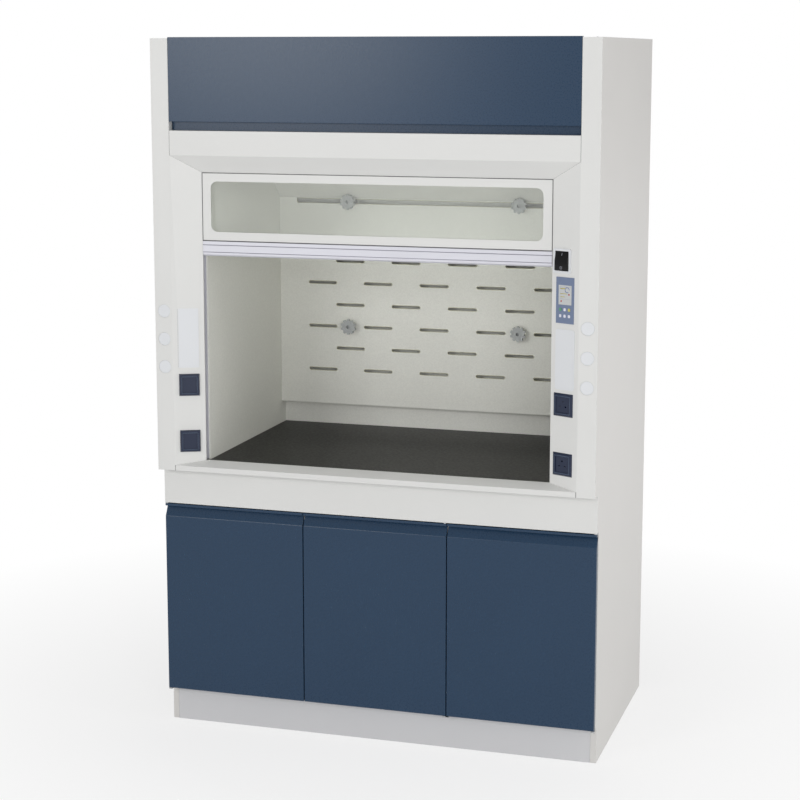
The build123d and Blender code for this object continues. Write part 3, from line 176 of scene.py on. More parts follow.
class HoodColours(bpy.types.PropertyGroup):
    """Colours of the hood's finishes."""
    white_coat: colour_property("White coat", "#DDDDDB", "Powder coat of the front frame and the apron")
    # The side coat is the front's white made darker: painted shade of the side panels, back and roof, which
    # face away from the light
    side_shaded_coat: colour_property("Side coat", "#D6D4D1", "Powder coat of the side panels, back and roof")
    plinth_coat: colour_property("Plinth coat", "#CFCFD1", "Powder coat of the toe board")
    blue_coat: colour_property("Blue coat", "#1A3752", "Powder coat of the fascia and the doors")
    laminate: colour_property("Lining", "#E9E9E2", "Compact laminate of the chamber's lining")
    # The lining core's olive is the laminate's cut edge with painted shade in it, standing for the dark space
    # behind the slots
    lining_core_and_shade: colour_property("Lining core", "#8C8A5E", "Cut edges of the lining's slots")
    slab: colour_property("Worktop", "#0E0E0D", "Cast resin of the worktop")
    rail: colour_property("Sash rail", "#D6D6DE", "Anodised extrusion of the sash's handle")
    steel: colour_property("Zinc", "#B4B6B8", "Zinc-plated steel of fasteners, ducts and runners")
    weight: colour_property("Counterweight", "#3A3B3D", "Cast iron of the counterweights")
    knob: colour_property("Knob", "#B2B5B5", "Moulded plastic of the star knobs")
    socket: colour_property("Socket", "#1E2840", "Moulded plastic of the sockets")
    fitting: colour_property("Fitting", "#DEE0E3", "Moulded plastic of covers and the switch frame")
    panel: colour_property("Control panel", "#6F7D99", "Membrane of the control panel")
    screen: colour_property("Screen", "#AEB0B0", "Back-lit screen")
    rocker: colour_property("Rocker", "#0E0E10", "Moulded plastic of the rocker")
    glass: colour_property("Glass", "#FBFCFB", "Toughened glass of the sash and the fixed window")


class HoodSizes(bpy.types.PropertyGroup):
    """Sizes of the details that the dressing adds."""
    bend: length_property("Bend radius", 2.0 * MM, "Outer radius of the folded sheet's bends")
    edge: length_property("Edge rounding", 0.35 * MM, "Rounding of cut sheet edges")
    panel_edge: length_property(
        "Panel edge", 0.8 * MM, "Rounding of the front panels' cut edges at their joints")
    door_bend: length_property("Door bend", 1.6 * MM, "Outer radius of the doors' folds")
    moulding: length_property("Moulding radius", 0.8 * MM, "Edge radius of the moulded fittings")
    lining_edge: length_property("Lining edge", 0.6 * MM, "Eased edge of the lining panels")
    slab_edge: length_property("Worktop edge", 2.0 * MM, "Eased edge of the worktop")
    rim: length_property("Slot rim", 0.8 * MM, "Thickness of the rim round each exhaust slot")
    screw_head: length_property("Screw head", 4.5 * MM, "Radius of the panel screws' heads")
    screw_rise: length_property("Screw rise", 1.6 * MM, "Height of the panel screws' heads")
    screw_pitch: length_property("Screw pitch", 235.0 * MM, "Longest distance between panel screws")


class HoodStage(bpy.types.PropertyGroup):
    """Camera and light."""
    lens: bpy.props.FloatProperty(name="Lens", description="Focal length in millimetres", default=85.365)
    shift: bpy.props.FloatProperty(name="Shift", description="Vertical shift of the camera", default=-0.05)
    place: bpy.props.FloatVectorProperty(
        name="Camera place", description="Where the camera stands", subtype="TRANSLATION",
        unit="LENGTH", default=(1.8775, -6.2183, 2.2909))
    turn: bpy.props.FloatVectorProperty(
        name="Camera turn", description="Which way the camera looks", subtype="EULER",
        unit="ROTATION", default=(math.radians(80.881), 0, math.radians(17.076)))
    ambient: bpy.props.FloatProperty(name="Ambient", description="Strength of the even light", default=0.47)
    key: power_property("Key", 85, "Power of the left softbox")
    fill: power_property("Fill", 95, "Power of the front softbox")
    side: power_property("Side", 75, "Power of the right softbox")


SETTINGS = {"hood_colours": HoodColours, "hood_sizes": HoodSizes, "hood_stage": HoodStage}


def settings(name):
    """One group of the settings above."""
    return getattr(bpy.context.scene, name)


# Finishes

FINISHES = {}


def start_finish(name):
    """A new material's tree and the place on the object, in metres."""
    material = bpy.data.materials.new(name)
    material.use_nodes = True
    tree = material.node_tree
    tree.nodes.clear()
    place = add_node(tree, "ShaderNodeTexCoord").outputs["Object"]
    return material, tree, place


def end_finish(tree, shader):
    """Shows a shader as the material's surface."""
    add_node(tree, "ShaderNodeOutputMaterial", {"Surface": shader})


def ramp(tree, value, low, high):
    """A pattern from 0 to 1 turned into a number from low to high."""
    return add_node(tree, "ShaderNodeMapRange", {
        "Value": value, "From Min": 0.3, "From Max": 0.7, "To Min": low, "To Max": high}).outputs["Result"]


def tinted(tree, colour, value, spread):
    """A colour that grows a little darker and lighter with a pattern."""
    shade = ramp(tree, value, 1 - spread, 1 + spread)
    return add_node(tree, "ShaderNodeVectorMath", {0: colour[:3], "Scale": shade},
                    operation="SCALE").outputs["Vector"]


def surface(name, colour, roughness, grain, bump, spread=0.02, cloud=300 * MM, stretch=(1, 1, 1),
            rough_spread=0.05, metallic=0.0, **shine):
    """A finish with a fine grain in its relief and roughness and a broad, faint drift in its colour."""
    material, tree, place = start_finish(name)
    along = add_node(tree, "ShaderNodeMapping", {"Vector": place, "Scale": stretch}).outputs["Vector"]
    fine = add_node(tree, "ShaderNodeTexNoise", {
        "Vector": along, "Scale": 1 / grain, "Detail": 3.0, "Roughness": 0.55}).outputs["Fac"]
    broad = add_node(tree, "ShaderNodeTexNoise", {
        "Vector": place, "Scale": 1 / cloud, "Detail": 2.0}).outputs["Fac"]
    relief = add_node(tree, "ShaderNodeBump", {
        "Height": fine, "Strength": bump, "Distance": 0.2 * MM}).outputs["Normal"]
    shader = add_node(tree, "ShaderNodeBsdfPrincipled", {
        "Base Color": tinted(tree, colour, broad, spread), "Metallic": metallic,
        "Roughness": ramp(tree, fine, roughness - rough_spread, roughness + rough_spread),
        "Normal": relief})
    for socket, value in shine.items():
        shader.inputs[socket.replace("_", " ")].default_value = value
    end_finish(tree, shader.outputs["BSDF"])
    return material


def speckled(name, colour, roughness, fleck, fleck_size, bump):
    """A matt sheet with fine flecks pressed into it."""
    material, tree, place = start_finish(name)
    cells = add_node(tree, "ShaderNodeTexVoronoi", {"Vector": place, "Scale": 1 / fleck_size})
    shade = add_node(tree, "ShaderNodeSeparateColor", {"Color": cells.outputs["Color"]}).outputs["Red"]
    broad = add_node(tree, "ShaderNodeTexNoise", {"Vector": place, "Scale": 3.0}).outputs["Fac"]
    base = tinted(tree, colour, broad, 0.015)
    flecked = add_node(tree, "ShaderNodeVectorMath", {
        0: base, "Scale": add_node(tree, "ShaderNodeMapRange", {
            "Value": shade, "To Min": 1 - fleck, "To Max": 1 + fleck}).outputs["Result"]},
        operation="SCALE").outputs["Vector"]
    relief = add_node(tree, "ShaderNodeBump", {
        "Height": cells.outputs["Distance"], "Strength": bump, "Distance": 0.1 * MM}).outputs["Normal"]
    shader = add_node(tree, "ShaderNodeBsdfPrincipled", {
        "Base Color": flecked, "Roughness": ramp(tree, broad, roughness - 0.04, roughness + 0.04),
        "Normal": relief})
    end_finish(tree, shader.outputs["BSDF"])
    return material


def toughened_glass(name, colour):
    """Clear float glass. Lamps shine through it, and faint waviness moves its reflections."""
    material, tree, place = start_finish(name)
    waves = add_node(tree, "ShaderNodeTexNoise", {
        "Vector": place, "Scale": 2.2, "Detail": 1.0}).outputs["Fac"]
    relief = add_node(tree, "ShaderNodeBump", {"Height": waves, "Strength": 0.03, "Distance": MM})
    glass = add_node(tree, "ShaderNodeBsdfPrincipled", {
        "Base Color": tinted(tree, colour, waves, 0.005), "Roughness": 0.01, "IOR": 1.5,
        "Transmission Weight": 1.0, "Normal": relief.outputs["Normal"]}).outputs["BSDF"]
    clear = add_node(tree, "ShaderNodeBsdfTransparent", {"Color": colour}).outputs["BSDF"]
    rays = add_node(tree, "ShaderNodeLightPath").outputs["Is Shadow Ray"]
    end_finish(tree, add_node(tree, "ShaderNodeMixShader", {0: rays, 1: glass, 2: clear}).outputs["Shader"])
    return material


def lit_screen(name, colour):
    """A back-lit display behind its cover sheet: it glows a little, with a faint drift in its tone."""
    material, tree, place = start_finish(name)
    drift = add_node(tree, "ShaderNodeTexNoise", {"Vector": place, "Scale": 25.0}).outputs["Fac"]
    base = tinted(tree, colour, drift, 0.05)
    shader = add_node(tree, "ShaderNodeBsdfPrincipled", {
        "Base Color": base, "Roughness": ramp(tree, drift, 0.12, 0.2), "Emission Color": base,
        "Emission Strength": 0.25})
    end_finish(tree, shader.outputs["BSDF"])
    return material


def mix_finishes():
    """Makes every finish once, under the name of the record's slot that it serves."""
    c = settings("hood_colours")
    # Polyester powder coat, sprayed and baked: satin, with an orange peel drawn at 5 mm so that it shows
    # side_paint carries painted shade: the white made darker for the faces turned from the light
    coats = {"white_paint": c.white_coat, "side_paint": c.side_shaded_coat, "plinth_paint": c.plinth_coat}
    for slot, colour in coats.items():
        FINISHES[slot] = surface(f"Powder coat {slot}", colour, 0.42, 5 * MM, 0.10, spread=0.008)
    FINISHES["blue_paint"] = surface(
        "Powder coat blue satin", c.blue_coat, 0.29, 5 * MM, 0.10, spread=0.02, Specular_IOR_Level=0.4)
    # Compact laminate, pressed and sawn: dead matt with a fine fleck
    FINISHES["laminate"] = speckled("Compact laminate matt", c.laminate, 0.6, 0.03, 4 * MM, 0.05)
    # Olive slot walls: cut laminate, partly painted shade of the dark plenum behind the slots
    FINISHES["core"] = surface("Laminate core sawn", c.lining_core_and_shade, 0.7, 2 * MM, 0.3)
    # Epoxy resin slab, cast and polished: near black, mirrors the lining softly
    FINISHES["black_slab"] = surface(
        "Epoxy resin cast", c.slab, 0.35, 9 * MM, 0.04, spread=0.12, cloud=120 * MM, rough_spread=0.05,
        Specular_IOR_Level=0.12)
    # Anodised aluminium, extruded: fine die lines along its length
    FINISHES["aluminium_rail"] = surface(
        "Aluminium anodised extruded", c.rail, 0.34, 2 * MM, 0.2, stretch=(0.01, 1, 1), metallic=0.15)
    # Zinc-plated steel: cool metal with a cloudy spangle
    FINISHES["steel"] = surface(
        "Steel zinc-plated", c.steel, 0.36, 6 * MM, 0.1, spread=0.1, cloud=18 * MM, metallic=1.0)
    # Cast iron, sand-cast: dark and pitted
    FINISHES["cast_weight"] = surface(
        "Iron sand-cast", c.weight, 0.62, 3 * MM, 0.9, spread=0.15, cloud=40 * MM, metallic=0.6)
    # ABS, injection-moulded with a spark-eroded texture: soft sheen
    FINISHES["grey_knob"] = surface("ABS moulded grey", c.knob, 0.5, 1.5 * MM, 0.35)
    FINISHES["navy_plastic"] = surface(
        "Polycarbonate moulded navy", c.socket, 0.34, 1.2 * MM, 0.12, Specular_IOR_Level=0.35)
    FINISHES["white_plastic"] = surface("ABS moulded white", c.fitting, 0.4, 1.2 * MM, 0.12, spread=0.01)
    FINISHES["panel_blue"] = surface("Polyester membrane blue", c.panel, 0.32, 1.0 * MM, 0.1)
    FINISHES["black_plastic"] = surface(
        "Polycarbonate moulded black", c.rocker, 0.22, 1.5 * MM, 0.06, Specular_IOR_Level=0.25)
    # Silicone rubber, moulded: soft and dull
    for slot, text in {"key_white": "#E2E2EC", "key_green": "#5C9E73", "key_yellow": "#CCC26B"}.items():
        FINISHES[slot] = surface(f"Silicone moulded {slot}", linear(text), 0.55, 1.0 * MM, 0.1)
    # EPDM rubber, extruded as a bead: dull and grey
    FINISHES["rubber"] = surface("Rubber extruded grey", linear("#5A5A5D"), 0.7, 1.5 * MM, 0.2)
    # Painted shade for the joints of the panels: a dull dark finish for strips and rounded edges where the
    # gaps would lie in shadow
    FINISHES["sealant"] = surface("Butyl sealant pressed", linear("#48494B"), 0.7, 3 * MM, 0.2)
    # Lacquer on the sawn rims of the lining: thin and yellowish
    FINISHES["rim"] = surface("Lacquer brushed", linear("#C9C6A8"), 0.45, 3 * MM, 0.1)
    # Opal acrylic, extruded: white and even
    FINISHES["diffuser"] = surface("Acrylic opal", linear("#EDEDE6"), 0.3, 4 * MM, 0.05)
    FINISHES["clear_glass"] = toughened_glass("Glass toughened clear", c.glass)
    FINISHES["screen"] = lit_screen("Display back-lit", c.screen)
    # Screen-printed ink: flat, slightly raised. The violet grey is no ink but painted shade for the handle's
    # grooves
    inks = {"ink_yellow": "#BDB25A", "ink_red": "#B8483E", "ink_blue": "#5A70A8",
            "ink_grey": "#A4A6B2", "ink_slate": "#55657C", "ink_violet": "#8E8B9C"}
    for slot, text in inks.items():
        FINISHES[slot] = surface(f"Printed {slot}", linear(text), 0.5, 0.8 * MM, 0.1)


# Mesh helpers

def add_object(name, mesh, finish=None):
    """Puts a mesh in the scene as a piece at the origin."""
    piece = bpy.data.objects.new(name, mesh)
    bpy.context.scene.collection.objects.link(piece)
    if finish:
        mesh.materials.clear()
        mesh.materials.append(FINISHES[finish])
    return piece


def to_mesh(name, shape):
    """Ends a bmesh as a mesh with smooth faces."""
    for face in shape.faces:
        face.smooth = True
    mesh = bpy.data.meshes.new(name)
    shape.to_mesh(mesh)
    shape.free()
    return mesh


def weighted(piece):
    """Gives a piece normals that keep its flats flat and its bends round."""
    piece.data.set_sharp_from_angle(angle=math.radians(40))
    modifier = piece.modifiers.new("Normals", "WEIGHTED_NORMAL")
    modifier.keep_sharp = True
    return applied(piece)


def applied(piece):
    """Turns a piece's modifiers into plain mesh."""
    graph = bpy.context.evaluated_depsgraph_get()
    mesh = bpy.data.meshes.new_from_object(
        piece.evaluated_get(graph), preserve_all_data_layers=True, depsgraph=graph)
    piece.modifiers.clear()
    piece.data = mesh
    return piece


def clean_copy(name, whole=True):
    """A CAD node's mesh with its loose triangles merged and, if wanted, its flat faces made whole."""
    shape = bmesh.new()
    shape.from_mesh(frame["nodes"][name].data)
    bmesh.ops.remove_doubles(shape, verts=shape.verts, dist=MERGE)
    if whole:
        bmesh.ops.dissolve_limit(shape, angle_limit=FLAT, verts=shape.verts, edges=shape.edges)
    return shape


def drawable(shape):
    """Whether the faces are drawn as they are: a ring made whole can end up filled in."""
    drawn = sum(area_tri(*[loop.vert.co for loop in loops]) for loops in shape.calc_loop_triangles())
    return drawn < sum(face.calc_area() for face in shape.faces) * 1.01


def rounded(name, bend, edge, least):
    """A CAD node's mesh with its bends and cut edges rounded."""
    for whole in (True, False):
        shape = clean_copy(name, whole)
        round_edges(shape, bend, least, convex_only=True)
        if edge:
            round_edges(shape, edge, least)
        if drawable(shape):
            return shape
        shape.free()
    raise RuntimeError(f"{name} can't be rounded")


def reach(edge):
    """How far the smaller of an edge's two faces reaches away from it."""
    length = edge.calc_length()
    return min(face.calc_area() / length for face in edge.link_faces)


def round_edges(shape, radius, least, convex_only=False):
    """Rounds the sharp edges whose faces have room for it."""
    chosen = []
    for edge in shape.edges:
        if len(edge.link_faces) != 2 or edge.calc_length() < least:
            continue
        if edge.calc_face_angle() > SHARP and reach(edge) > 2.2 * radius:
            if edge.is_convex or not convex_only:
                chosen.append(edge)
    if chosen:
        bmesh.ops.bevel(shape, geom=chosen, offset=radius, offset_type="OFFSET", segments=3,
                        profile=0.5, affect="EDGES", clamp_overlap=True)


def dress(name, finish, bend, edge=None, least=4 * MM):
    """Replaces a CAD node with the same shape, its bends and its cut edges rounded."""
    shape = rounded(name, bend, edge, least)
    piece = add_object(f"{name}_finished", to_mesh(name, shape), finish)
    weighted(piece)
    return settle(piece, name)


def settle(piece, name):
    """Lets a piece stand for a CAD node, on the body of that node."""
    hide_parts(name)
    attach(piece, body_of(name))
    return piece


def body_of(name):
    """The CAD body that a node rides on."""
    return frame["nodes"][name].parent.name.removeprefix("body:")


def bevel_place(side, x, z, out=0.0):
    """The place on a post's bevel whose X runs along the bevel and whose Z points out of it."""
    back = (FLAT_X - x) * BEVEL_DEPTH / BEVEL_WIDTH
    normal = Vector((-side * SLANT, -ACROSS, 0))
    origin = Vector((side * x, FRONT + back, z)) + normal * out
    turn = Matrix((Vector((ACROSS, -side * SLANT, 0)), Vector((0, 0, 1)), normal)).transposed()
    return Matrix.Translation(origin) @ turn.to_4x4()


def prism(shape, low, high):
    """Adds a solid between two outlines with as many points."""
    rings = [[shape.verts.new(point) for point in outline] for outline in (low, high)]
    shape.faces.new(rings[0][::-1])
    shape.faces.new(rings[1])
    for i in range(len(low)):
        j = (i + 1) % len(low)
        shape.faces.new((rings[0][i], rings[0][j], rings[1][j], rings[1][i]))


def slab(shape, points, low, high, place):
    """Adds a flat piece with the given outline between two heights over a place."""
    prism(shape, *[[place @ Vector((x, y, z)) for x, y in points] for z in (low, high)])


def rod(shape, start, end, radius):
    """Adds a round bar from one point to another."""
    start, end = Vector(start), Vector(end)
    turn = (end - start).to_track_quat("Z", "Y").to_matrix().to_4x4()
    slab(shape, disc(0, 0, radius, 10), 0, (end - start).length, Matrix.Translation(start) @ turn)


def bar(shape, low, high):
    """Adds a box between two corners."""
    middle = [(a + b) / 2 for a, b in zip(low, high)]
    outline = rectangle(middle[0], middle[1], high[0] - low[0], high[1] - low[1])
    slab(shape, outline, low[2], high[2], Matrix())


def printed(shape, outlines, place, node, lift):
    """Adds thin marks that lie on a CAD node, seen along a place's Z."""
    source = clean_copy(node)
    surface_tree = BVHTree.FromBMesh(source)
    source.free()
    out = place.to_3x3() @ Vector((0, 0, 1))
    for outline in outlines:
        starts = [place @ Vector((x, y, 0)) + out * PRINT_REACH for x, y in outline]
        hits = [surface_tree.ray_cast(start, -out)[0] for start in starts]
        prism(shape, hits, [hit + out * lift for hit in hits])


def frame_lines(width, height, line):
    """Four strips that make a rectangular frame of the given outer size."""
    upright = [rectangle(side * (width - line) / 2, 0, line, height) for side in (-1, 1)]
    return upright + [rectangle(0, side * (height - line) / 2, width - 2 * line, line) for side in (-1, 1)]


def rectangle(x, y, width, height):
    """Corners of a rectangle round a middle."""
    return [(x + sx * width / 2, y + sy * height / 2) for sx, sy in ((-1, -1), (1, -1), (1, 1), (-1, 1))]


def disc(x, y, radius, count=20):
    """Points of a circle."""
    return [(x + radius * math.cos(2 * math.pi * i / count), y + radius * math.sin(2 * math.pi * i / count))
            for i in range(count)]


def ring_of(x, y, radius, width, start, end, count=24):
    """Outline of an arc-shaped band between two angles in degrees."""
    angles = [math.radians(start + (end - start) * i / count) for i in range(count + 1)]
    outer = [(x + radius * math.cos(a), y + radius * math.sin(a)) for a in angles]
    inner = [(x + (radius - width) * math.cos(a), y + (radius - width) * math.sin(a)) for a in angles]
    return outer + inner[::-1]


# Geometry Nodes

def start_tree(name, sizes, counts=()):
    """A Geometry Nodes tree with named inputs for its sizes and counts and for its material."""
    tree = bpy.data.node_groups.new(name, "GeometryNodeTree")
    tree.interface.new_socket("Geometry", in_out="INPUT", socket_type="NodeSocketGeometry")
    for label in sizes:
        tree.interface.new_socket(label, in_out="INPUT", socket_type="NodeSocketFloat")
    for label in counts:
        tree.interface.new_socket(label, in_out="INPUT", socket_type="NodeSocketInt")
    tree.interface.new_socket("Material", in_out="INPUT", socket_type="NodeSocketMaterial")
    tree.interface.new_socket("Geometry", in_out="OUTPUT", socket_type="NodeSocketGeometry")
    return tree, add_node(tree, "NodeGroupInput").outputs


def end_tree(tree, given, geometry):
    """Ends a tree with real geometry in its material."""
    real = add_node(tree, "GeometryNodeRealizeInstances", {"Geometry": geometry}).outputs["Geometry"]
    shown = add_node(tree, "GeometryNodeSetMaterial", {"Geometry": real, "Material": given["Material"]})
    add_node(tree, "NodeGroupOutput", {"Geometry": shown.outputs["Geometry"]})
    return tree


def grow(name, tree, values, points=()):
    """Runs a tree on a cloud of points and returns what it makes as a plain mesh."""
    seed = bpy.data.meshes.new(name)
    seed.from_pydata([tuple(point) for point in points], [], [])
    holder = add_object(name, seed)
    modifier = holder.modifiers.new("Form", "NODES")
    modifier.node_group = tree
    for item in tree.interface.items_tree:
        if item.in_out == "INPUT" and item.name in values:
            modifier[item.identifier] = values[item.name]
    mesh = applied(holder).data
    bpy.data.objects.remove(holder)
    return mesh


def screw_tree():
    """Button-head screws with a round driver recess on every point, facing up."""
    tree, given = start_tree("Panel screws", ("Head radius", "Head rise"))
    top = maths(tree, "MULTIPLY", given["Head radius"], 0.72)
    head = add_node(tree, "GeometryNodeMeshCone", {
        "Vertices": 20, "Radius Top": top, "Radius Bottom": given["Head radius"],
        "Depth": given["Head rise"]}).outputs
    inset = add_node(tree, "GeometryNodeExtrudeMesh", {
        "Mesh": head["Mesh"], "Selection": head["Top"], "Offset Scale": 0.0}, mode="FACES").outputs
    small = add_node(tree, "GeometryNodeScaleElements", {
        "Geometry": inset["Mesh"], "Selection": inset["Top"], "Scale": 0.55}, domain="FACE")
    deep = maths(tree, "MULTIPLY", given["Head rise"], -0.6)
    sunk = add_node(tree, "GeometryNodeExtrudeMesh", {
        "Mesh": small.outputs["Geometry"], "Selection": inset["Top"], "Offset Scale": deep}, mode="FACES")
    placed = add_node(tree, "GeometryNodeInstanceOnPoints", {
        "Points": given["Geometry"], "Instance": sunk.outputs["Mesh"]})
    return end_tree(tree, given, placed.outputs["Instances"])


def rim_tree():
    """Rims of slots in staggered rows: every second row is shifted by half a pitch, one slot shorter."""
    tree, given = start_tree("Slot rims", ("Slot width", "Slot height", "Pitch", "Row pitch", "Wire"),
                             ("Columns", "Rows"))
    gaps = [maths(tree, "SUBTRACT", given[label], 1.0) for label in ("Columns", "Rows")]
    spans = [maths(tree, "MULTIPLY", gap, given[label]) for gap, label in zip(gaps, ("Pitch", "Row pitch"))]
    grid = add_node(tree, "GeometryNodeMeshGrid", {
        "Size X": spans[0], "Size Y": spans[1], "Vertices X": given["Columns"],
        "Vertices Y": given["Rows"]}).outputs["Mesh"]
    index = add_node(tree, "GeometryNodeInputIndex").outputs["Index"]
    row = maths(tree, "MODULO", index, given["Rows"])
    short = maths(tree, "MODULO", row, 2.0)
    column = maths(tree, "DIVIDE", index, given["Rows"])
    last = add_node(tree, "FunctionNodeCompare", {0: column, 1: gaps[0]}, data_type="FLOAT",
                    operation="GREATER_EQUAL").outputs["Result"]
    gone = add_node(tree, "FunctionNodeBooleanMath", {0: short, 1: last}, operation="AND").outputs[0]
    shift = maths(tree, "MULTIPLY", maths(tree, "MULTIPLY", given["Pitch"], 0.5), short)
    offset = add_node(tree, "ShaderNodeCombineXYZ", {0: shift}).outputs[0]
    shifted = add_node(tree, "GeometryNodeSetPosition", {"Geometry": grid, "Offset": offset})
    kept = add_node(tree, "GeometryNodeDeleteGeometry", {
        "Geometry": shifted.outputs["Geometry"], "Selection": gone}, domain="POINT").outputs["Geometry"]
    outline = add_node(tree, "GeometryNodeCurvePrimitiveQuadrilateral", {
        "Width": given["Slot width"], "Height": given["Slot height"]}).outputs["Curve"]
    corner = maths(tree, "MULTIPLY", given["Slot height"], 0.499)
    rounded = add_node(tree, "GeometryNodeFilletCurve", {
        "Curve": outline, "Radius": corner, "Count": 6}, mode="POLY").outputs["Curve"]
    wire = add_node(tree, "GeometryNodeCurvePrimitiveCircle", {
        "Resolution": 8, "Radius": given["Wire"]}).outputs["Curve"]
    rim = add_node(tree, "GeometryNodeCurveToMesh", {"Curve": rounded, "Profile Curve": wire}).outputs["Mesh"]
    placed = add_node(tree, "GeometryNodeInstanceOnPoints", {"Points": kept, "Instance": rim})
    return end_tree(tree, given, placed.outputs["Instances"])


def star_tree():
    """A star knob: a disc notched all round, dished on its face, with an open eye and a boss behind."""
    sizes = ("Radius", "Notch", "Thickness", "Hub", "Dish radius", "Dish", "Eye", "Boss")
    tree, given = start_tree("Star knob", sizes, ("Lobes",))

    def bar(radius, depth, lift, corners=72):
        """A round bar whose middle lies at a height."""
        made = add_node(tree, "GeometryNodeMeshCylinder", {
            "Vertices": corners, "Radius": radius, "Depth": depth}).outputs["Mesh"]
        height = add_node(tree, "ShaderNodeCombineXYZ", {2: lift}).outputs[0]
        return add_node(tree, "GeometryNodeTransform", {"Geometry": made, "Translation": height}).outputs[0]

    def cut(whole, part):
        """One shape without another."""
        return add_node(tree, "GeometryNodeMeshBoolean", {"Mesh 1": whole, "Mesh 2": part},
                        operation="DIFFERENCE", solver="EXACT").outputs["Mesh"]

    middle = maths(tree, "MULTIPLY", given["Thickness"], 0.5)
    plate = bar(given["Radius"], given["Thickness"], middle, 120)
    circle = add_node(tree, "GeometryNodeMeshCircle", {
        "Vertices": given["Lobes"], "Radius": given["Radius"]}).outputs["Mesh"]
    tooth = bar(given["Notch"], maths(tree, "MULTIPLY", given["Thickness"], 3.0), middle, 24)
    teeth = add_node(tree, "GeometryNodeInstanceOnPoints", {"Points": circle, "Instance": tooth})
    notches = add_node(tree, "GeometryNodeRealizeInstances", {"Geometry": teeth.outputs["Instances"]})
    star = cut(plate, notches.outputs["Geometry"])
    deep = maths(tree, "MULTIPLY", given["Dish"], 2.0)
    dish = cut(bar(given["Dish radius"], deep, given["Thickness"]),
               bar(given["Hub"], maths(tree, "MULTIPLY", deep, 2.0), given["Thickness"]))
    star = cut(star, dish)
    boss = bar(given["Hub"], given["Boss"], maths(tree, "MULTIPLY", given["Boss"], -0.5))
    whole = add_node(tree, "GeometryNodeMeshBoolean", {"Mesh 2": star}, operation="UNION", solver="EXACT")
    tree.links.new(boss, whole.inputs["Mesh 2"])
    long = maths(tree, "MULTIPLY", given["Thickness"], 2.0)
    bored = cut(whole.outputs["Mesh"], bar(given["Eye"], long, given["Thickness"]))
    return end_tree(tree, given, bored)


def mark_tree():
    """A row of small flat marks."""
    tree, given = start_tree("Row of marks", ("Pitch", "Width", "Height", "Rise"), ("Count",))
    step = add_node(tree, "ShaderNodeCombineXYZ", {1: given["Pitch"]}).outputs[0]
    line = add_node(tree, "GeometryNodeMeshLine", {"Count": given["Count"], "Offset": step}).outputs["Mesh"]
    size = add_node(tree, "ShaderNodeCombineXYZ", {
        0: given["Width"], 1: given["Height"], 2: given["Rise"]}).outputs[0]
    mark = add_node(tree, "GeometryNodeMeshCube", {"Size": size}).outputs["Mesh"]
    placed = add_node(tree, "GeometryNodeInstanceOnPoints", {"Points": line, "Instance": mark})
    return end_tree(tree, given, placed.outputs["Instances"])


# Operators, one for each piece or group of like pieces

class DressOperator(bpy.types.Operator):
    """Base of the operators below."""
    bl_options = {"REGISTER"}


class HOOD_OT_finishes(DressOperator):
    """Mixes the finishes and gives every CAD node its own"""
    bl_idname = "hood.finishes"
    bl_label = "Finishes"

    def execute(self, context):
        mix_finishes()
        for node in frame["nodes"].values():
            slot = node.data.materials[0].name
            node.data.materials[0] = FINISHES[slot]
        return {"FINISHED"}


class HOOD_OT_panels(DressOperator):
    """Rounds the bends of the folded steel panels"""
    bl_idname = "hood.panels"
    bl_label = "Folded panels"

    def execute(self, context):
        s = settings("hood_sizes")
        groups = {
            "white_paint": ("post_left", "post_right", "lintel", "sill", "apron", "window_frame"),
            "side_paint": ("side_panel_left", "side_panel_right", "back_panel", "roof_panel"),
            "plinth_paint": ("plinth",),
            "blue_paint": ("fascia",),
        }
        for finish, names in groups.items():
            edge = s.panel_edge if finish == "white_paint" else s.edge
            for name in names:
                dress(name, finish, s.bend, edge)
        return {"FINISHED"}


class HOOD_OT_seams(DressOperator):
    """Paints shade along the joints of the front panels as dark strips, beads the fixed window, and paints
    shade as lines in the grooves of the handle
    """
    bl_idname = "hood.seams"
    bl_label = "Seams"

    def execute(self, context):
        lintel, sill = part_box("lintel"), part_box("sill")
        window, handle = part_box("window_frame"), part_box("sash_handle")
        seam = FLAT_X - PANEL_GAP / 2
        flat_y = FRONT + SEAM_SHADE_DEPTH
        mouth_y = FRONT + BEVEL_DEPTH + SEAM_SHADE_DEPTH
        turns = ((lintel[1].z, LINTEL_BREAK, lintel[0].z), (sill[0].z, SILL_BREAK, sill[1].z))
        lines = []
        for side in (-1, 1):
            for outer, turn, mouth in turns:
                corner = (side * seam, flat_y, turn)
                lines.append(((side * seam, flat_y, outer), corner))
                lines.append((corner, (side * MOUTH_X, mouth_y, mouth)))
        # Dark rods along each joint: painted shade where the panel gaps fall in shadow
        joints = bmesh.new()
        for start, end in lines:
            rod(joints, start, end, SEAM_SHADE_RADIUS)
        add_thin("panel_seams", joints, "sealant", "frame")
        for name in ("post_left", "post_right", "lintel", "sill"):
            paint_joint_shade(bpy.data.objects[f"{name}_finished"].data, lines, SEAM_SHADE_SPREAD)
        low, high = window
        front = low.y - BEAD_RISE
        beads = bmesh.new()
        for side in (-1, 1):
            edges = sorted((side * high.x, side * (high.x - BEAD_WIDTH)))
            bar(beads, (edges[0], front, low.z), (edges[1], low.y, high.z))
        bar(beads, (low.x, front, high.z - BEAD_WIDTH), (high.x, low.y, high.z))
        bar(beads, (low.x, front, low.z), (high.x, low.y, low.z + FOOT_BEAD_WIDTH))
        add_thin("window_beads", beads, "rubber", "frame")
        low, high = handle
        bottom = low.y + GROOVE_DEPTH
        # Thin strips at the bottom of the handle's two grooves: painted shade in the violet grey finish
        grooves = bmesh.new()
        for foot in GROOVE_FEET:
            bar(grooves, (low.x, bottom - GROOVE_FILL, foot), (high.x, bottom, foot + GROOVE_LINE))
        add_thin("handle_grooves", grooves, "ink_violet", "sash")
        return {"FINISHED"}


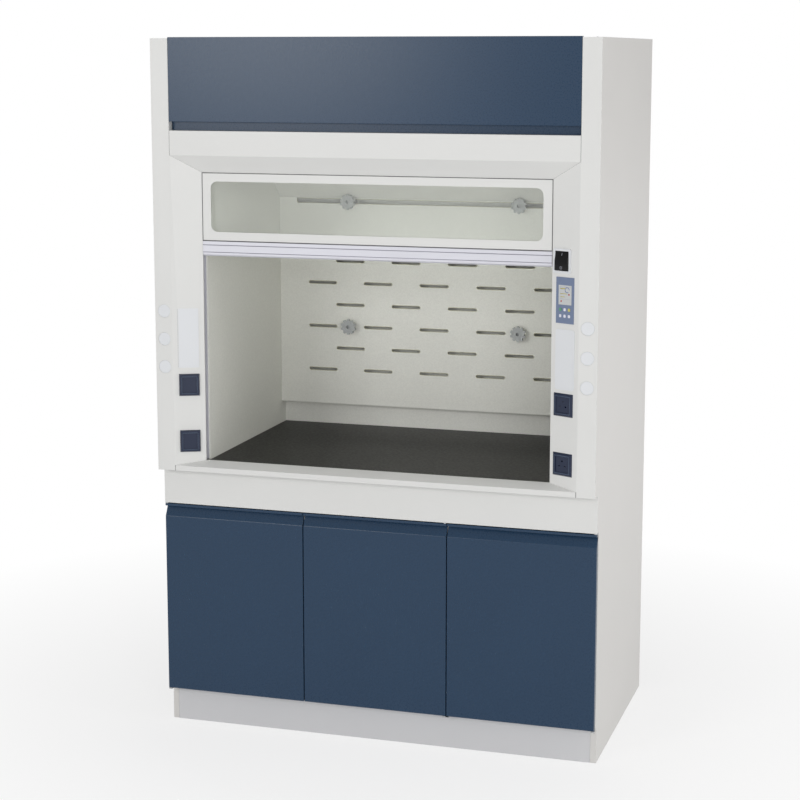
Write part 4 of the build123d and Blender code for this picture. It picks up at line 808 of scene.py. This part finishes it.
def paint_joint_shade(mesh, lines, near):
    """Paints shade on a panel's rounded edges where they lie along a joint, in the dark seam finish."""
    mesh.materials.append(FINISHES["sealant"])
    for face in mesh.polygons:
        corners = [mesh.vertices[i].co for i in face.vertices]
        for line in lines:
            gaps = [(corner - intersect_point_line(corner, *line)[0]).length for corner in corners]
            if max(gaps) < near:
                face.material_index = 1


def add_thin(name, shape, finish, body):
    """Puts strips or marks in the scene on a body."""
    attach(add_object(name, to_mesh(name, shape), finish), body)


class HOOD_OT_doors(DressOperator):
    """Rounds the folds of the three doors and their finger pulls"""
    bl_idname = "hood.doors"
    bl_label = "Doors"

    def execute(self, context):
        s = settings("hood_sizes")
        for name in ("door_left", "door_middle", "door_right"):
            dress(name, "blue_paint", s.door_bend, s.edge)
        return {"FINISHED"}


class HOOD_OT_chamber(DressOperator):
    """Dresses the lining, the baffle's slots and the worktop"""
    bl_idname = "hood.chamber"
    bl_label = "Working chamber"

    def execute(self, context):
        s = settings("hood_sizes")
        for name in ("side_liners", "back_liner", "ceiling", "baffle_upper"):
            dress(name, "laminate", s.lining_edge)
        baffle = dress("baffle_lower", "laminate", s.lining_edge, least=50 * MM)
        # Cut faces inside the slots take the olive core finish, which is partly painted shade of the space
        # behind them
        baffle.data.materials.append(FINISHES["core"])
        low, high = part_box("baffle_lower")
        margin = 3 * s.lining_edge
        for face in baffle.data.polygons:
            middle = face.center
            cut_face = abs(face.normal.y) < 0.5 and low.y < middle.y < high.y
            inside = abs(middle.x) < high.x - margin and low.z + margin < middle.z < high.z - margin
            if cut_face and inside:
                face.material_index = 1
        dress("worktop", "black_slab", s.slab_edge)
        tree = rim_tree()
        rows = {"Slot width": SLOT_WIDTH, "Slot height": SLOT_HEIGHT, "Pitch": SLOT_PITCH,
                "Row pitch": SLOT_ROW_PITCH, "Wire": s.rim, "Columns": SLOT_COLUMNS, "Rows": SLOT_ROWS,
                "Material": FINISHES["rim"]}
        long_slot = dict(rows, **{
            "Slot width": LONG_SLOT_WIDTH, "Slot height": LONG_SLOT_HEIGHT, "Columns": 1, "Rows": 1})
        rims = {"slot_rims": (rows, SLOT_MIDDLE), "long_slot_rim": (long_slot, LONG_SLOT_MIDDLE)}
        for name, (values, height) in rims.items():
            mesh = grow(name, tree, values)
            turn = Matrix.Rotation(math.radians(90), 4, "X")
            mesh.transform(Matrix.Translation((0, BAFFLE_FACE, height)) @ turn)
            piece = add_object(name, mesh)
            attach(piece, "frame")
        return {"FINISHED"}


class HOOD_OT_knobs(DressOperator):
    """Forms the four star knobs that clamp the baffle"""
    bl_idname = "hood.knobs"
    bl_label = "Star knobs"

    def execute(self, context):
        tree = star_tree()
        values = {"Radius": 28 * MM, "Notch": 5 * MM, "Thickness": 12 * MM, "Hub": 12 * MM,
                  "Dish radius": 20 * MM, "Dish": 2 * MM, "Eye": 6.5 * MM, "Boss": 18.7 * MM, "Lobes": 10,
                  "Material": FINISHES["grey_knob"]}
        mesh = grow("knob", tree, values)
        shape = bmesh.new()
        shape.from_mesh(mesh)
        bmesh.ops.remove_doubles(shape, verts=shape.verts, dist=MERGE)
        bmesh.ops.dissolve_limit(shape, angle_limit=FLAT, verts=shape.verts, edges=shape.edges)
        knob = to_mesh("knob", shape)
        for number in (1, 2, 3, 4):
            name = f"knob_{number}"
            low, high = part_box(name)
            middle = (low + high) / 2
            rear = low.y + values["Thickness"]
            turn = Matrix.Rotation(math.radians(90), 4, "X")
            copy = knob.copy()
            copy.transform(Matrix.Translation((middle.x, rear, middle.z)) @ turn)
            piece = add_object(f"star_{name}", copy, "grey_knob")
            weighted(piece)
            settle(piece, name)
        return {"FINISHED"}


class HOOD_OT_sash(DressOperator):
    """Dresses the sash: its rail, its glass and its stiles"""
    bl_idname = "hood.sash"
    bl_label = "Sash"

    def execute(self, context):
        s = settings("hood_sizes")
        dress("sash_handle", "aluminium_rail", s.edge, least=50 * MM)
        dress("sash_glass", "clear_glass", s.edge)
        dress("window_pane", "clear_glass", s.edge)
        dress("sash_stiles", "aluminium_rail", s.edge)
        return {"FINISHED"}


class HOOD_OT_cables(DressOperator):
    """Hangs the cables that stretch between the pulleys, the sash and the counterweights"""
    bl_idname = "hood.cables"
    bl_label = "Cables"

    def execute(self, context):
        runs = {"sash_cables": "sash", "weight_cables": "counterweights"}
        for node, body in runs.items():
            low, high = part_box(node)
            radius = (high.y - low.y) / 2
            depth = (high.y + low.y) / 2
            shape = bmesh.new()
            for side in (-1, 1):
                x = side * (high.x - radius)
                place = Matrix.Translation((x, depth, 0))
                slab(shape, disc(0, 0, radius, 12), low.z, high.z, place)
            piece = add_object(f"{node}_hung", to_mesh(node, shape), "steel")
            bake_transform(piece)
            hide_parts(node)
        return {"FINISHED"}


class HOOD_OT_sockets(DressOperator):
    """Rounds the mouldings of the sockets, covers, plugs and the switch"""
    bl_idname = "hood.sockets"
    bl_label = "Post fittings"

    def execute(self, context):
        s = settings("hood_sizes")
        dress("sockets", "navy_plastic", s.moulding)
        dress("post_covers", "white_plastic", s.moulding / 2)
        dress("switch_frame", "white_plastic", s.moulding)
        dress("rocker", "black_plastic", s.moulding, least=8 * MM)
        dress("control_bezel", "panel_blue", s.moulding / 2)
        return {"FINISHED"}


class HOOD_OT_marks(DressOperator):
    """Draws the picture on the screen, prints the marks on the rocker and the sockets, and paints a dashed
    line of shade beside the post's cover
    """
    bl_idname = "hood.marks"
    bl_label = "Printed marks"

    def execute(self, context):
        self.picture()
        shape = bmesh.new()
        on_off = [rectangle(0, 21 * MM, 1.6 * MM, 8 * MM),
                  ring_of(0, -21 * MM, 4.5 * MM, 1.3 * MM, 0, 350)]
        printed(shape, on_off, bevel_place(1, ROCKER_X, ROCKER_Z), "rocker", ROCKER_PRINT_LIFT)
        add_thin("rocker_marks", shape, "ink_grey", "rocker")
        shape = bmesh.new()
        for side in (-1, 1):
            outline = frame_lines(SOCKET_LINE_WIDTH[side], SOCKET_LINE_HEIGHT, SOCKET_LINE)
            for z in SOCKET_ROWS:
                printed(shape, outline, bevel_place(side, SOCKET_X[side], z), "sockets", PRINT_LIFT)
        add_thin("socket_lines", shape, "ink_slate", "frame")
        # A dashed row of grey marks at the left cover's edge: painted shade of the gap round the cover, in
        # the grey ink finish
        dots = grow("cover_dots", mark_tree(), {
            "Pitch": DOT_PITCH, "Width": DOT_WIDTH, "Height": DOT_HEIGHT, "Rise": DOT_RISE,
            "Count": DOT_COUNT, "Material": FINISHES["ink_grey"]})
        beside = Matrix.Translation((DOT_SIDE, 0, 0))
        dots.transform(bevel_place(-1, COVER_X, COVER_FOOT) @ beside)
        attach(add_object("cover_dots", dots), "frame")
        return {"FINISHED"}

    def picture(self):
        """Draws the screen's bars, dots, dial and rules, each colour as one piece."""
        drawings = {
            "ink_yellow": [rectangle(-9 * MM, 20 * MM, 20 * MM, 3 * MM),
                           rectangle(-6 * MM, 4 * MM, 26 * MM, 2 * MM),
                           rectangle(-10 * MM, -6 * MM, 16 * MM, 2 * MM)],
            "ink_red": [disc(15 * MM, 2 * MM, 3 * MM), disc(-15 * MM, -20 * MM, 3 * MM)],
            "ink_blue": [ring_of(8 * MM, 16 * MM, 9 * MM, 2 * MM, 0, 300)],
            "ink_grey": [rectangle(0, -13 * MM, 42 * MM, 0.8 * MM),
                         rectangle(0, 25 * MM, 42 * MM, 0.8 * MM)],
        }
        screen = bevel_place(1, SCREEN_X, SCREEN_Z, SCREEN_RISE)
        for finish, outlines in drawings.items():
            shape = bmesh.new()
            for outline in outlines:
                slab(shape, outline, 0, PRINT_LIFT, screen)
            add_thin(f"screen_{finish}", shape, finish, "frame")


class HOOD_OT_screws(DressOperator):
    """Fits the screws round the roof panel"""
    bl_idname = "hood.screws"
    bl_label = "Panel screws"

    def execute(self, context):
        s = settings("hood_sizes")
        low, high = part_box("roof_panel")
        inset = 12 * MM
        xs = spaced(low.x + inset, high.x - inset, s.screw_pitch)
        ys = spaced(low.y + inset, high.y - inset, s.screw_pitch)
        border = [(x, y, high.z) for x in xs for y in ys if x in (xs[0], xs[-1]) or y in (ys[0], ys[-1])]
        mesh = grow("panel_screws", screw_tree(), {
            "Head radius": s.screw_head, "Head rise": s.screw_rise, "Material": FINISHES["steel"]}, border)
        piece = add_object("panel_screws", mesh)
        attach(piece, "frame")
        return {"FINISHED"}


def spaced(start, end, pitch):
    """Places from start to end, evenly spaced and no further apart than a pitch."""
    count = math.ceil((end - start) / pitch)
    return [start + (end - start) * i / count for i in range(count + 1)]


class HOOD_OT_stage(DressOperator):
    """Sets the floor, the light and the camera"""
    bl_idname = "hood.stage"
    bl_label = "Stage"

    def execute(self, context):
        s = settings("hood_stage")
        self.floor()
        self.world(s.ambient)
        middle = Vector((0, -0.2, 1.2))
        self.softbox("Left softbox", (-2.6, -6.2, 2.9), middle, 2.0, s.key)
        self.softbox("Front softbox", (2.8, -6.2, 2.2), middle, 2.4, s.fill)
        self.softbox("Right softbox", (5.4, -0.6, 2.4), middle, 3.0, s.side)
        camera = bpy.data.cameras.new("Camera")
        camera.lens, camera.sensor_width, camera.shift_y = s.lens, 36, s.shift
        camera.clip_end = 100
        holder = bpy.data.objects.new("Camera", camera)
        context.scene.collection.objects.link(holder)
        holder.location, holder.rotation_euler = s.place, s.turn
        context.scene.camera = holder
        context.scene.view_settings.view_transform = "Standard"
        return {"FINISHED"}

    def softbox(self, name, place, target, size, power):
        """A square softbox aimed at a point."""
        light = bpy.data.lights.new(name, "AREA")
        light.size, light.energy = size, power
        holder = bpy.data.objects.new(name, light)
        bpy.context.scene.collection.objects.link(holder)
        holder.location = place
        holder.rotation_euler = (target - Vector(place)).to_track_quat("-Z", "Y").to_euler()

    def floor(self):
        """A pale floor that keeps the hood's shadow and is white where nothing shades it."""
        material, tree, place = start_finish("Studio floor")
        away = add_node(tree, "ShaderNodeVectorMath", {0: place}, operation="LENGTH").outputs["Value"]
        plain = add_node(tree, "ShaderNodeMapRange", {
            "Value": away, "From Min": 0.9, "From Max": 2.6, "To Min": 0.70, "To Max": 1.0}).outputs["Result"]
        rays = add_node(tree, "ShaderNodeLightPath").outputs
        seen = maths(tree, "MAXIMUM", rays["Is Camera Ray"], rays["Is Glossy Ray"])
        seen = maths(tree, "MAXIMUM", seen, rays["Is Transmission Ray"])
        share = maths(tree, "MULTIPLY", seen, plain)
        matt = add_node(tree, "ShaderNodeBsdfDiffuse", {"Color": linear("#F4F4F4")}).outputs["BSDF"]
        white = add_node(tree, "ShaderNodeEmission", {"Color": (1, 1, 1, 1), "Strength": 1.0}).outputs[0]
        end_finish(tree, add_node(tree, "ShaderNodeMixShader", {0: share, 1: matt, 2: white}).outputs[0])
        shape = bmesh.new()
        corners = [shape.verts.new((x, y, -FLOOR_DROP)) for x, y in rectangle(0, 0, FLOOR_SPAN, FLOOR_SPAN)]
        shape.faces.new(corners)
        mesh = to_mesh("floor", shape)
        mesh.materials.append(material)
        add_object("floor", mesh)

    def world(self, ambient):
        """Even white light, and a white background."""
        world = bpy.data.worlds.new("Studio")
        world.use_nodes = True
        tree = world.node_tree
        tree.nodes.clear()
        rays = add_node(tree, "ShaderNodeLightPath").outputs
        seen = maths(tree, "MAXIMUM", rays["Is Camera Ray"], rays["Is Transmission Ray"])
        light = add_node(tree, "ShaderNodeBackground", {"Color": (1, 1, 1, 1), "Strength": ambient})
        white = add_node(tree, "ShaderNodeBackground", {"Color": (1, 1, 1, 1), "Strength": 1.0})
        mixed = add_node(tree, "ShaderNodeMixShader", {
            0: seen, 1: light.outputs[0], 2: white.outputs[0]}).outputs[0]
        add_node(tree, "ShaderNodeOutputWorld", {"Surface": mixed})
        bpy.context.scene.world = world


STEPS = (HOOD_OT_finishes, HOOD_OT_panels, HOOD_OT_seams, HOOD_OT_doors, HOOD_OT_chamber,
         HOOD_OT_knobs, HOOD_OT_sash, HOOD_OT_cables, HOOD_OT_sockets, HOOD_OT_marks,
         HOOD_OT_screws, HOOD_OT_stage)


class HOOD_PT_panel(bpy.types.Panel):
    """The steps that dress the hood, in order."""
    bl_idname = "HOOD_PT_panel"
    bl_label = "Fume hood"
    bl_space_type = "VIEW_3D"
    bl_region_type = "UI"
    bl_category = "Fume hood"

    def draw(self, context):
        for step in STEPS:
            self.layout.operator(step.bl_idname)
        for name, group in SETTINGS.items():
            box = self.layout.box()
            for key in group.__annotations__:
                box.prop(getattr(context.scene, name), key)


CLASSES = (*SETTINGS.values(), *STEPS, HOOD_PT_panel)


def register():
    """Adds the classes and their settings to Blender."""
    for item in CLASSES:
        bpy.utils.register_class(item)
    for name, group in SETTINGS.items():
        setattr(bpy.types.Scene, name, bpy.props.PointerProperty(type=group))


def unregister():
    """Takes them away again."""
    for name in SETTINGS:
        delattr(bpy.types.Scene, name)
    for item in reversed(CLASSES):
        bpy.utils.unregister_class(item)


def main():
    """Dresses the hood step by step."""
    register()
    for step in STEPS:
        group, name = step.bl_idname.split(".")
        getattr(getattr(bpy.ops, group), name)()


if __name__ == "__main__":
    main()
